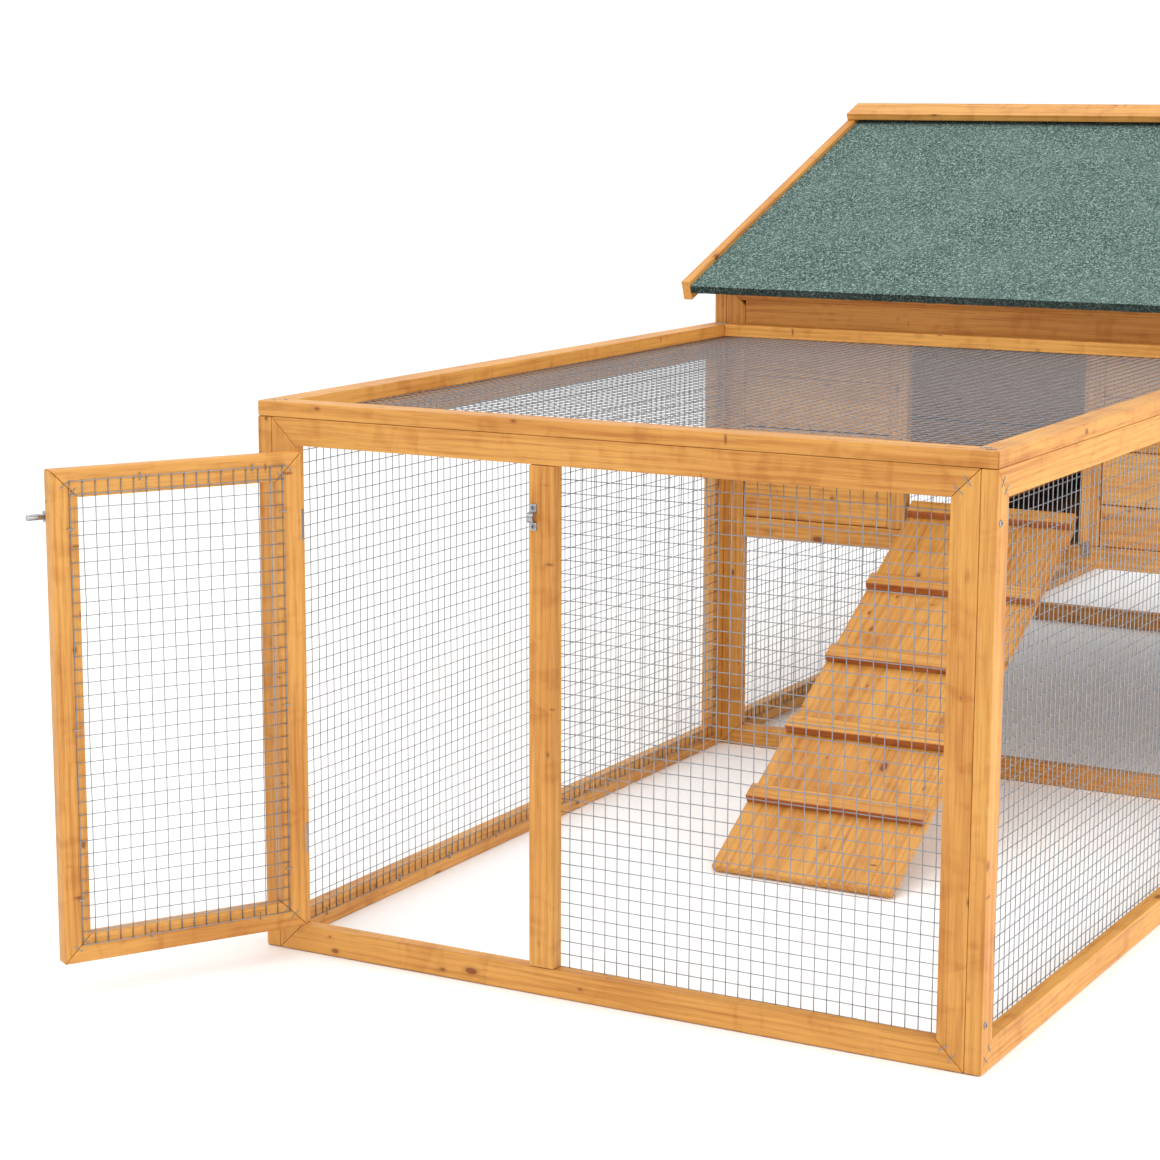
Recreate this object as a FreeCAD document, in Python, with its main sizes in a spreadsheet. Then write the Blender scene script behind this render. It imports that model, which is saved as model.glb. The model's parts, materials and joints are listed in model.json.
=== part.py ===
import FreeCAD, Part
import os
import Sketcher

# Chicken coop: a gabled house between two wire runs, all on one rectangular plan.
# X runs along the front, Y from the front run to the rear run, Z up, in millimetres.
# The origin is the middle of the underside of the house front's ground rail.

V = FreeCAD.Vector
doc = FreeCAD.newDocument("coop")
parts = {}


# ---------------------------------------------------------------- driving dimensions
SIZES = [
    ("width", 762, "outer width of runs and house"),
    ("panel_height", 537, "height of a run panel"),
    ("run_length", 1006, "length of each run"),
    ("house_depth", 1028, "length of the house between the runs"),
    ("batten_width", 27, "face width of every batten"),
    ("batten_thick", 16, "thickness of every panel batten"),
    ("lid_thick", 15, "thickness of the run roof frames"),
    ("mesh_thick", 0.2, "solid sheet of about the weight of the welded wire"),
    ("mesh_lap", 10, "how far the wire laps onto a batten"),
    ("door_opening", 262, "clear width beside the mullion"),
    ("door_open_angle", 120, "how far the run door stands open"),
    ("door_gap_free", 5, "gap at the door's free edge"),
    ("door_gap_top", 3.4, "gap above the door"),
    ("door_gap_foot", 6.2, "gap below the door"),
    ("hinge_gap", 2.6, "gap that holds the two leaves of a butt hinge"),
    ("hinge_out", 3.2, "distance of a hinge axis from the face"),
    ("hinge_length", 30, "length of a butt hinge"),
    ("hinge_leaf", 13, "depth of a leaf behind the face"),
    ("leaf_thick", 1, "sheet of the hinge leaves"),
    ("knuckle_rad", 2.6, "outer radius of the knuckles"),
    ("pin_rad", 1.2, "radius of a hinge pin"),
    ("pin_play", 0.05, "radial clearance of a hinge pin"),
    ("groove_play", 0.4, "clearance of the ramp's grooves round its hinge knuckles"),
    ("part_gap", 0.4, "gap between neighbouring pieces that move"),
    ("upper_hinge", 431, "height of the run door's upper hinge"),
    ("lower_hinge", 115, "height of the run door's lower hinge"),
    ("bolt_height", 461, "height of the barrel bolt"),
    ("bolt_rad", 3, "radius of the bolt rod"),
    ("bolt_play", 0.06, "radial clearance of the bolt rod"),
    ("bolt_out", 4.4, "distance of the bolt rod's axis from the face"),
    ("bolt_show", 16, "bolt rod beyond the door's edge when shot"),
    ("bolt_body", 25, "length of the bolt's backplate"),
    ("bolt_loop", 4, "width of the loops round the bolt rod"),
    ("keeper_set", 2.5, "keeper's hoop in from the mullion's edge"),
    ("floor_rail", 276, "underside of the rail at floor level"),
    ("wall_height", 601.4, "underside of the roof boards at the wall"),
    ("roof_pitch", 20.8, "slope of the roof in degrees"),
    ("eave", 30, "overhang of the roof boards at the eaves"),
    ("verge", 30, "overhang of the roof at the gables"),
    ("roof_board", 9, "thickness of the roof boards"),
    ("felt", 2.5, "thickness of the roofing felt"),
    ("barge_thick", 12, "thickness of the barge boards"),
    ("barge_depth", 25, "depth of the barge boards"),
    ("barge_proud", 5, "barge board above the felt"),
    ("cap_width", 33, "width of a ridge capping"),
    ("cap_thick", 9.5, "thickness of a ridge capping"),
    ("plank_pitch", 65.6, "pitch of the wall planks"),
    ("plank_first", 51.4, "part of the lowest plank above the floor rail"),
    ("plank_thick", 12, "thickness of the wall planks"),
    ("plank_seam", 0.8, "open seam between planks"),
    ("plank_bevel", 2, "bevel along each plank's front edges"),
    ("top_rail", 20, "visible height of the rail under the eaves"),
    ("pop_width", 227, "width of the hens' doorway"),
    ("pop_height", 240, "height of the hens' doorway"),
    ("pop_stile", 24, "battens beside the hens' doorway"),
    ("ramp_width", 214, "width of the ramp"),
    ("ramp_thick", 9, "thickness of the ramp board"),
    ("ramp_angle", 30, "slope of the ramp"),
    ("ramp_axis_up", 9.8, "ramp hinge axis above the rail"),
    ("ramp_end", 12, "ramp board beyond its hinge axis"),
    ("ramp_leaf", 20, "depth of the ramp hinges' leaves"),
    ("joint_plate", 10, "width of the plate that ties a jamb to the floor rail"),
    ("foot_gap", 0.5, "ramp foot above the ground"),
    ("cleat_first", 102.5, "first cleat above the foot"),
    ("cleat_pitch", 118, "first spacing of the cleats"),
    ("cleat_growth", 8.7, "growth of the spacing up the ramp"),
    ("cleat_width", 22, "width of a cleat"),
    ("cleat_thick", 10, "thickness of a cleat"),
    ("partition", 16, "thickness of the wall between the two compartments"),
    ("tray_wall", 24, "height of a tray"),
    ("tray_sheet", 1.2, "sheet of a tray"),
    ("tray_play", 2, "gap beside a tray"),
    ("tray_out", 325, "how far the front tray is drawn out"),
    ("slot_height", 28, "height of the tray slots"),
    ("slot_rail", 20, "rail above the tray slots"),
    ("hatch_height", 190, "height of the house doors' openings"),
    ("hatch_gap", 2, "gap round a house door"),
    ("hatch_thick", 14, "thickness of a house door's planks"),
    ("knob_rad", 9, "radius of a tray knob"),
    ("knob_length", 20, "length of a tray knob"),
    ("button_length", 56, "length of the turn button"),
    ("button_width", 14, "width of the turn button"),
    ("button_thick", 6, "thickness of the turn button"),
    ("screw_rad", 3.2, "radius of a screw head"),
    ("screw_head", 1.2, "height of a screw head"),
]

sheet = doc.addObject("Spreadsheet::Sheet", "dims")
for row, (alias, value, note) in enumerate(SIZES, start=1):
    sheet.set("A%d" % row, note)
    sheet.set("B%d" % row, str(value))
    sheet.setAlias("B%d" % row, alias)
doc.recompute()


# ---------------------------------------------------------------- helpers
ACROSS = FreeCAD.Rotation(V(1, 0, 0), V(0, 0, 1), V(0, -1, 0), "XYZ")
ALONG = FreeCAD.Rotation(V(0, 1, 0), V(0, 0, 1), V(1, 0, 0), "XYZ")
FLAT = FreeCAD.Rotation()
QUARTERS = [FreeCAD.Rotation(V(0, 0, 1), 90 * turn) for turn in range(4)]


def bind(thing, **expressions):
    """Bind properties to expressions of the sheet; a word stands for its alias."""
    for name, text in expressions.items():
        thing.setExpression(name, sized(text))


def sized(text):
    """Turn the sheet's words in an expression into references to its cells."""
    words = {alias for alias, value, note in SIZES}
    pieces = []
    word = ""
    for letter in str(text) + " ":
        if letter.isalnum() or letter == "_" or letter == ".":
            word += letter
            continue
        pieces.append("dims." + word if word in words else word)
        pieces.append(letter)
        word = ""
    return "".join(pieces).strip()


def place(thing, x, y, z, rotation=FLAT):
    """Set a fixed rotation and bind the three coordinates."""
    thing.Placement = FreeCAD.Placement(V(0, 0, 0), rotation)
    for axis, text in zip("xyz", (x, y, z)):
        thing.setExpression(".Placement.Base." + axis, sized(text))
    return thing


def box(name, size, x, y, z, rotation=FLAT):
    """A plain batten or board."""
    thing = doc.addObject("Part::Box", name)
    bind(thing, Length=size[0], Width=size[1], Height=size[2])
    return place(thing, x, y, z, rotation)


def rod(name, radius, length, x, y, z, direction=V(0, 0, 1)):
    """A round bar along a direction."""
    thing = doc.addObject("Part::Cylinder", name)
    bind(thing, Radius=radius, Height=length)
    return place(thing, x, y, z, FreeCAD.Rotation(V(0, 0, 1), direction))


def group(name, members):
    """Several solids under one name, each still its own solid."""
    thing = doc.addObject("Part::Compound", name)
    thing.Links = members
    return thing


def joined(name, members):
    """Several shapes welded into one."""
    thing = doc.addObject("Part::MultiFuse", name)
    thing.Shapes = members
    return thing


def cut(name, base, tool):
    """One shape with another taken away."""
    thing = doc.addObject("Part::Cut", name)
    thing.Base = base
    thing.Tool = tool
    return thing


def common(name, base, tool):
    """What two shapes share."""
    thing = doc.addObject("Part::Common", name)
    thing.Base = base
    thing.Tool = tool
    return thing


def keep(node, thing):
    """Name a finished sub-part."""
    thing.Label = node
    parts[node] = thing
    return thing


def origin_plane(body, role):
    """The plane of a body's own origin with the given role."""
    for feature in body.Origin.OriginFeatures:
        if feature.Role == role:
            return feature
    raise ValueError(role)


def prism(name, role, corners, depth, x="0", y="0", z="0", rotation=FLAT):
    """A body padded from a sketched outline whose corners are expressions."""
    body = doc.addObject("PartDesign::Body", name)
    sketch = body.newObject("Sketcher::SketchObject", name + "_sketch")
    sketch.AttachmentSupport = (origin_plane(body, role), [""])
    sketch.MapMode = "FlatFace"
    count = len(corners)
    probe = [V(number(a), number(b), 0) for a, b in corners]
    for index in range(count):
        sketch.addGeometry(Part.LineSegment(probe[index], probe[(index + 1) % count]))
    for index in range(count):
        sketch.addConstraint(Sketcher.Constraint("Coincident", index, 2, (index + 1) % count, 1))
    for index, pair in enumerate(corners):
        for kind, text in zip(("DistanceX", "DistanceY"), pair):
            value = number(text)
            rule = sketch.addConstraint(Sketcher.Constraint(kind, -1, 1, index, 1, value))
            sketch.setExpression("Constraints[%d]" % rule, sized(text))
    pad = body.newObject("PartDesign::Pad", name + "_pad")
    pad.Profile = sketch
    bind(pad, Length=depth)
    sketch.Visibility = False
    return place(body, x, y, z, rotation)


def number(text):
    """The value of an expression of the sheet's words, in millimetres or degrees."""
    value = sheet.evalExpression(sized(text))
    return float(getattr(value, "Value", value))


# ---------------------------------------------------------------- mitred panels
def mitred(name, wide, high, x, y, z, rotation, thick="batten_thick"):
    """Four battens mitred at the corners, as a list of separate solids."""
    corners = [("0", "0"), (wide, "0"), (wide, high), ("0", high)]
    lengths = [wide, high, wide, high]
    battens = []
    for side in range(4):
        batten = doc.addObject("Part::Wedge", "%s_batten%d" % (name, side))
        length = "(%s)" % lengths[side]
        bind(batten, Xmin="0", Ymin="0", Zmin="0", X2min="batten_width", Z2min="0")
        bind(batten, Xmax=length, X2max=length + " - batten_width", Ymax="batten_width")
        bind(batten, Zmax=thick, Z2max=thick)
        across, up = corners[side]
        right = rotation.multVec(V(1, 0, 0))
        rise = rotation.multVec(V(0, 1, 0))
        base = []
        for start, step, lift in zip((x, y, z), right, rise):
            base.append("(%s) + (%s) * %d + (%s) * %d" % (start, across, round(step), up, round(lift)))
        place(batten, base[0], base[1], base[2], rotation.multiply(QUARTERS[side]))
        battens.append(batten)
    return battens


def inner_sheet(name, wide, high, x, y, z, rotation):
    """The wire on a panel's back: it laps onto the battens all round."""
    inset = "batten_width - mesh_lap"
    right = rotation.multVec(V(1, 0, 0))
    rise = rotation.multVec(V(0, 1, 0))
    base = []
    for start, step, lift in zip((x, y, z), right, rise):
        base.append("(%s) + (%s) * %d" % (start, inset, round(step + lift)))
    across = "(%s) - 2 * (%s)" % (wide, inset)
    tall = "(%s) - 2 * (%s)" % (high, inset)
    return box(name, (across, tall, "mesh_thick"), base[0], base[1], base[2], rotation)


LEFT = "-width / 2"
RIGHT = "width / 2"
INNER_WIDTH = "width - 2 * batten_thick"
INNER_LEFT = "-width / 2 + batten_thick"
BETWEEN_WIRES = INNER_WIDTH + " - 2 * mesh_thick"
WIRE_LEFT = INNER_LEFT + " + mesh_thick"
FRONT = "(-run_length - batten_thick / 2)"
HOUSE = "(-batten_thick / 2)"
BACK = "(house_depth - batten_thick / 2)"
REAR_END = "(house_depth + run_length - batten_thick / 2)"
MIDDLE = "(house_depth / 2 - batten_thick / 2)"


def run_sides(label, start):
    """The two long wire panels of one run."""
    for side, outer, skin in (("left", LEFT, LEFT + " + batten_thick"),
                              ("right", RIGHT + " - batten_thick",
                               RIGHT + " - batten_thick - mesh_thick")):
        name = "%s_%s_panel" % (label, side)
        frame = mitred(name, "run_length", "panel_height", outer, start, "0", ALONG)
        keep(name + "_frame", group(name + "_group", frame))
        wire = inner_sheet(name + "_wire", "run_length", "panel_height", skin, start, "0", ALONG)
        keep(name + "_mesh", wire)


def run_lid(label, start):
    """The flat wire roof of one run, lying on its panels."""
    name = "%s_lid" % label
    frame = mitred(name, "width", "run_length", LEFT, start, "panel_height", FLAT, "lid_thick")
    keep(name + "_frame", group(name + "_group", frame))
    wire = inner_sheet(name + "_wire", "width", "run_length", LEFT, start,
                       "panel_height - mesh_thick", FLAT)
    keep(name + "_mesh", wire)


def front_panel():
    """The front panel: a doorway, a mullion and a fixed wire field."""
    battens = mitred("front_panel", INNER_WIDTH, "panel_height", INNER_LEFT, FRONT + " + batten_thick", "0",
                     ACROSS)
    mullion = box("front_mullion", ("batten_width", "batten_thick", "panel_height - 2 * batten_width"),
                  INNER_LEFT + " + batten_width + door_opening", FRONT, "batten_width")
    keep("front_panel_frame", group("front_panel_group", battens + [mullion]))
    start = INNER_LEFT + " + 2 * batten_width + door_opening - mesh_lap"
    wide = INNER_WIDTH + " - 3 * batten_width - door_opening + 2 * mesh_lap"
    wire = box("front_wire", (wide, "mesh_thick", "panel_height - 2 * batten_width + 2 * mesh_lap"),
               start, FRONT + " + batten_thick", "batten_width - mesh_lap")
    keep("front_panel_mesh", wire)


def rear_end_panel():
    """The wire panel that closes the rear run."""
    start = REAR_END + " - batten_thick"
    battens = mitred("rear_end", INNER_WIDTH, "panel_height", INNER_LEFT, REAR_END, "0", ACROSS)
    keep("rear_end_panel_frame", group("rear_end_group", battens))
    wire = inner_sheet("rear_end_wire", INNER_WIDTH, "panel_height", INNER_LEFT, start, "0", ACROSS)
    keep("rear_end_panel_mesh", wire)


# ---------------------------------------------------------------- butt hinges
BARREL = "hinge_length / 3 - part_gap / 2"


def hinge_leaf(name, side):
    """One leaf at the origin: side -1 has the outer knuckles, side 1 the middle one."""
    inner = "hinge_gap / 2 - leaf_thick" if side > 0 else "-hinge_gap / 2"
    spans = [("-hinge_length / 6 + part_gap / 2", "hinge_length / 3 - part_gap")]
    if side < 0:
        spans = [("-hinge_length / 2", BARREL), ("hinge_length / 6 + part_gap / 2", BARREL)]
    plate = box(name + "_plate", ("leaf_thick", "hinge_leaf", "hinge_length"),
                inner, "hinge_out", "-hinge_length / 2")
    pieces = [plate]
    for index, (start, length) in enumerate(spans):
        label = "%s_%d" % (name, index)
        pieces.append(rod(label + "_knuckle", "knuckle_rad", length, "0", "0", start))
        pieces.append(box(label + "_tab", ("leaf_thick", "hinge_out + 1", length), inner, "0", start))
    bore = rod(name + "_bore", "pin_rad + pin_play", "2 * hinge_length", "0", "0", "-hinge_length")
    return cut(name, joined(name + "_solid", pieces), bore)


def hinge_pin(name):
    """A pin with a head at each end."""
    shaft = rod(name + "_shaft", "pin_rad", "hinge_length + 1", "0", "0", "-hinge_length / 2 - 0.5")
    heads = [rod(name + "_head_low", "pin_rad + 0.8", "0.8", "0", "0", "-hinge_length / 2 - 0.8"),
             rod(name + "_head_high", "pin_rad + 0.8", "0.8", "0", "0", "hinge_length / 2")]
    return joined(name, [shaft] + heads)


def copy_of(name, source, x, y, z, rotation=FLAT):
    """Another one of the same piece, somewhere else."""
    link = doc.addObject("Part::Compound", name)
    link.Links = [source]
    return place(link, x, y, z, rotation)


FIXED_LEAF = hinge_leaf("fixed_leaf", -1)
MOVING_LEAF = hinge_leaf("moving_leaf", 1)
PIN = hinge_pin("pin")
fixed_leaves = []
pins = []


def fixed_hinge(name, x, y, z, rotation=FLAT):
    """The leaf and pin that stay on the coop."""
    fixed_leaves.append(copy_of(name + "_leaf", FIXED_LEAF, x, y, z, rotation))
    pins.append(copy_of(name + "_pin", PIN, x, y, z, rotation))


# ---------------------------------------------------------------- run door and bolt
DOOR_X = INNER_LEFT + " + batten_width + hinge_gap / 2"
DOOR_Y = FRONT + " - hinge_out"
DOOR_WIDE = "door_opening - hinge_gap - door_gap_free"
DOOR_LOW = "batten_width + door_gap_foot"
DOOR_HIGH = "panel_height - 2 * batten_width - door_gap_foot - door_gap_top"


def swung(node, thing):
    """Place a door piece, made shut about the hinge axis, at its open angle."""
    place(thing, DOOR_X, DOOR_Y, "0")
    thing.Placement.Rotation = FreeCAD.Rotation(V(0, 0, -1), number("door_open_angle"))
    thing.setExpression(".Placement.Rotation.Angle", sized("door_open_angle"))
    return keep(node, thing)


def run_door():
    """The mitred wire door, its leaves and its barrel bolt, hung at the left."""
    battens = mitred("door", DOOR_WIDE, DOOR_HIGH, "hinge_gap / 2", "hinge_out + batten_thick",
                     DOOR_LOW, ACROSS)
    swung("door_frame", group("door_group", battens))
    lap = "(batten_width - mesh_lap)"
    wire = box("door_wire", (DOOR_WIDE + " - 2 * " + lap, "mesh_thick", DOOR_HIGH + " - 2 * " + lap),
               "hinge_gap / 2 + " + lap, "hinge_out + batten_thick", DOOR_LOW + " + " + lap)
    swung("door_mesh", group("door_mesh_group", [wire]))
    leaves = [copy_of("door_leaf_high", MOVING_LEAF, "0", "0", "upper_hinge"),
              copy_of("door_leaf_low", MOVING_LEAF, "0", "0", "lower_hinge")]
    swung("door_hinge_leaves", group("door_leaves", leaves))
    fixed_hinge("door_high", DOOR_X, DOOR_Y, "upper_hinge")
    fixed_hinge("door_low", DOOR_X, DOOR_Y, "lower_hinge")


BOLT_EDGE = "hinge_gap / 2 + " + DOOR_WIDE


def strap(name, start):
    """One loop that guides the bolt rod; the rod's channel is cut through it later."""
    return box(name + "_block", ("bolt_loop", "bolt_out + bolt_rad + 1.4", "2 * bolt_rad + 4"),
               start, "hinge_out - bolt_out - bolt_rad - 1.4", "bolt_height - bolt_rad - 2")


def barrel_bolt():
    """A backplate with two loops on the door's face, and the sliding rod."""
    start = BOLT_EDGE + " - bolt_body"
    plate = box("bolt_plate", ("bolt_body - 1", 1.2, "8 * bolt_rad"), start, "hinge_out - 1.2",
                "bolt_height - 4 * bolt_rad")
    channel = rod("bolt_channel", "bolt_rad + bolt_play", "3 * bolt_body", start + " - bolt_body",
                  "hinge_out - bolt_out", "bolt_height", V(1, 0, 0))
    loops = [strap("strap_inner", start), strap("strap_outer", BOLT_EDGE + " - bolt_loop - 1")]
    body = cut("bolt_body_cut", joined("bolt_solid", [plate] + loops), channel)
    swung("bolt_plate_and_loops", group("bolt_group", [body]))
    shaft = rod("bolt_shaft", "bolt_rad", "bolt_body + bolt_show + 1", start + " - 1",
                "hinge_out - bolt_out", "bolt_height", V(1, 0, 0))
    handle = rod("bolt_handle", "0.75 * bolt_rad", 14, BOLT_EDGE + " - 2 * bolt_loop",
                 "hinge_out - bolt_out - 14", "bolt_height", V(0, 1, 0))
    swung("bolt_rod", group("bolt_rod_group", [joined("bolt_rod_solid", [shaft, handle])]))


def keeper():
    """The plate and hoop on the mullion that take the bolt rod."""
    left = INNER_LEFT + " + batten_width + door_opening"
    plate = box("keeper_plate", (10, 1, "8.5 * bolt_rad"), left + " + 1", FRONT + " - 1",
                "bolt_height - 4.25 * bolt_rad")
    hoop = box("keeper_hoop", ("bolt_loop + 1.5", "bolt_out + bolt_rad + 1.6", "2 * bolt_rad + 5"),
               left + " + keeper_set", FRONT + " - bolt_out - bolt_rad - 1.6",
               "bolt_height - bolt_rad - 2.5")
    bore = rod("keeper_bore", "bolt_rad + part_gap", "4 * bolt_loop", left + " - bolt_loop",
               FRONT + " - bolt_out", "bolt_height", V(1, 0, 0))
    keep("bolt_keeper", cut("keeper", joined("keeper_solid", [plate, hoop]), bore))


# ---------------------------------------------------------------- house walls
FLOOR_TOP = "(floor_rail + batten_width)"
FIELD_LEFT = INNER_LEFT + " + batten_width"
FIELD_WIDE = INNER_WIDTH + " - 2 * batten_width"
SLOPE = "tan(roof_pitch * 1deg)"


def plank_outline(thick, high, facing):
    """Section of a plank with both front edges bevelled; facing is 1 or -1."""
    front = "0" if facing > 0 else thick
    back = thick if facing > 0 else "0"
    inset = "plank_bevel" if facing > 0 else "%s - plank_bevel" % thick
    return [(back, "0"), (inset, "0"), (front, "plank_bevel"),
            (front, "%s - plank_bevel" % high), (inset, high), (back, high)]


def plank_rows(name, rows, length, start, facing, along):
    """A stack of planks from the floor rail up; the last one is left tall, to be cut to the wall."""
    stack = []
    for row in range(rows):
        high = "(plank_pitch - plank_seam)" if row < rows - 1 else "(2 * plank_pitch)"
        if row == 0:
            high = "(plank_first - plank_seam)"
        outline = plank_outline("plank_thick", high, facing)
        label = "%s_plank%d" % (name, row)
        level = FLOOR_TOP + " + plank_seam / 2"
        if row > 0:
            level += " + plank_first + %d * plank_pitch" % (row - 1)
        if along:
            plank = prism(label, "XZ_Plane", outline, length, start[0],
                          "(%s) + (%s)" % (start[1], length), level)
        else:
            plank = prism(label, "YZ_Plane", outline, length, start[0], start[1], level)
        stack.append(plank)
    return stack


def cross_wall(label, y, facing, doorway):
    """A wall across the coop: a mitred frame to the ground, planked above the floor."""
    outer = y if facing > 0 else y + " - batten_thick"
    frame_back = y + " + batten_thick" if facing > 0 else y
    tall = "wall_height"
    battens = mitred(label, INNER_WIDTH, tall, INNER_LEFT, frame_back, "0", ACROSS)
    battens = trim_top_rail(label, battens, outer)
    rail = box(label + "_floor_rail", (FIELD_WIDE, "batten_thick", "batten_width"),
               FIELD_LEFT, outer, "floor_rail")
    battens.append(rail)
    skin = y + " + 1" if facing > 0 else y + " - plank_thick - 1"
    rows = plank_rows(label, 5, FIELD_WIDE, (FIELD_LEFT, skin), facing, False)
    field = box(label + "_field", (FIELD_WIDE, "3 * batten_thick", "wall_height - top_rail - floor_rail"
                                   " - batten_width"), FIELD_LEFT, outer + " - batten_thick", FLOOR_TOP)
    boards = common(label + "_boards", group(label + "_stack", rows), field)
    if doorway:
        gap = box(label + "_gap", ("pop_width + 2 * pop_stile", "5 * batten_thick", "pop_height"),
                  "-pop_width / 2 - pop_stile", outer + " - 2 * batten_thick", FLOOR_TOP)
        boards = cut(label + "_boards_cut", boards, gap)
        for side, x in (("left", "-pop_width / 2 - pop_stile"), ("right", "pop_width / 2")):
            battens.append(box("%s_%s_jamb" % (label, side), ("pop_stile", "batten_thick", "pop_height"),
                               x, outer, FLOOR_TOP))
    keep(label + "_frame", group(label + "_group", battens))
    keep(label + "_planks", boards)


def trim_top_rail(label, battens, outer):
    """Narrow the rail under the eaves, which the planks come up to."""
    field = box(label + "_trim", (FIELD_WIDE, "3 * batten_thick", "batten_width - top_rail + 0.001"),
                FIELD_LEFT, outer + " - batten_thick", "wall_height - batten_width - 0.001")
    rail = cut(label + "_top_rail", battens[2], field)
    return [battens[0], battens[1], rail, battens[3]]


def gable_outline(inset):
    """The end wall above the floor, up to the underside of the roof boards."""
    return [("0", FLOOR_TOP), ("house_depth", FLOOR_TOP), ("house_depth", "wall_height - %s" % inset),
            ("house_depth / 2", "wall_height - %s + house_depth / 2 * %s" % (inset, SLOPE)),
            ("0", "wall_height - %s" % inset)]


def rafter(name, x, far):
    """A sloping batten under one roof slope, between a stile and the middle."""
    drop = "batten_width / cos(roof_pitch * 1deg)"
    low = "batten_width"
    corners = [(low, "wall_height + %s * %s - %s" % (low, SLOPE, drop)),
               ("house_depth / 2", "wall_height + house_depth / 2 * %s - %s" % (SLOPE, drop)),
               ("house_depth / 2", "wall_height + house_depth / 2 * %s" % SLOPE),
               (low, "wall_height + %s * %s" % (low, SLOPE))]
    if far:
        corners = [("house_depth - (%s)" % across, up) for across, up in reversed(corners)]
    return prism(name, "YZ_Plane", corners, "batten_thick", x, HOUSE, "0")


def stile(name, x, far):
    """An upright batten of an end wall, cut to the roof's slope."""
    corners = [("0", "batten_width"), ("batten_width", "batten_width"),
               ("batten_width", "wall_height + batten_width * %s" % SLOPE), ("0", "wall_height")]
    if far:
        corners = [("house_depth - (%s)" % across, up) for across, up in reversed(corners)]
    return prism(name, "YZ_Plane", corners, "batten_thick", x, HOUSE, "0")


END_FIELD = "(house_depth - 2 * batten_width)"
HATCH_LOW = "(%s + slot_height + slot_rail)" % FLOOR_TOP
HATCH_TOP = "(%s + hatch_height)" % HATCH_LOW
HATCH_WIDE = "((house_depth - 3 * batten_width) / 2)"


def end_wall(label, x, facing, hatches):
    """A gable wall: stiles, rails, rafters, planks, and wire below the floor."""
    field_start = HOUSE + " + batten_width"
    battens = [stile(label + "_near", x, False), stile(label + "_far", x, True),
               rafter(label + "_near_rafter", x, False), rafter(label + "_far_rafter", x, True)]
    battens.append(box(label + "_ground", ("batten_thick", "house_depth", "batten_width"), x, HOUSE, "0"))
    battens.append(box(label + "_floor", ("batten_thick", END_FIELD, "batten_width"), x, field_start,
                       "floor_rail"))
    skin = x + " + 1" if facing > 0 else x + " + batten_thick - plank_thick - 1"
    rows = plank_rows(label, 8, END_FIELD, (skin, field_start), facing, True)
    pent = prism(label + "_pent", "YZ_Plane", gable_outline("batten_width / cos(roof_pitch * 1deg)"),
                 "3 * batten_thick", x + " - batten_thick", HOUSE, "0")
    boards = common(label + "_boards", group(label + "_stack", rows), pent)
    if hatches:
        battens.append(box(label + "_middle", ("batten_thick", "batten_width", HATCH_TOP + " - " + FLOOR_TOP),
                           x, MIDDLE + " - batten_width / 2", FLOOR_TOP))
        for part, start in (("front", field_start), ("rear", MIDDLE + " + batten_width / 2")):
            battens.append(box("%s_%s_slot_rail" % (label, part), ("batten_thick", HATCH_WIDE, "slot_rail"),
                               x, start, FLOOR_TOP + " + slot_height"))
        battens.append(box(label + "_header", ("batten_thick", END_FIELD, "slot_rail"), x, field_start,
                           HATCH_TOP))
        gap = box(label + "_gap", ("5 * batten_thick", END_FIELD, HATCH_TOP + " + slot_rail - " + FLOOR_TOP),
                  x + " - 2 * batten_thick", field_start, FLOOR_TOP)
        boards = cut(label + "_boards_cut", boards, gap)
    keep(label + "_frame", group(label + "_group", battens))
    keep(label + "_planks", boards)
    wire_x = x + " + batten_thick" if facing > 0 else x + " - mesh_thick"
    wire = box(label + "_wire", ("mesh_thick", END_FIELD + " + 2 * mesh_lap",
                                 "floor_rail - batten_width + 2 * mesh_lap"),
               wire_x, field_start + " - mesh_lap", "batten_width - mesh_lap")
    keep(label + "_lower_mesh", wire)


def partition_wall():
    """The planked wall between the two compartments."""
    top = "wall_height + (house_depth / 2 - partition / 2) * " + SLOPE
    low = "floor_rail"
    board = "((%s) - (%s)) / 5" % (top, low)
    planks = []
    for row in range(5):
        planks.append(box("partition_plank%d" % row, (BETWEEN_WIRES, "partition", board + " - plank_seam"),
                          WIRE_LEFT, MIDDLE + " - partition / 2", low + " + %d * (%s)" % (row, board)))
    keep("partition_planks", group("partition_group", planks))


def tray_runners():
    """Four battens across the house that carry the edges of the two trays."""
    rows = []
    starts = (HOUSE + " + batten_thick", MIDDLE + " - partition / 2 - batten_width",
              MIDDLE + " + partition / 2", BACK + " - batten_thick - batten_width")
    for index, start in enumerate(starts):
        rows.append(box("runner%d" % index, (BETWEEN_WIRES, "batten_width", "batten_width - 2"), WIRE_LEFT,
                        start, "floor_rail + 2"))
    keep("tray_runners", group("runner_group", rows))


# ---------------------------------------------------------------- trays and house doors
TRAY_WIDE = "(%s - 2 * tray_play)" % HATCH_WIDE


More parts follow.
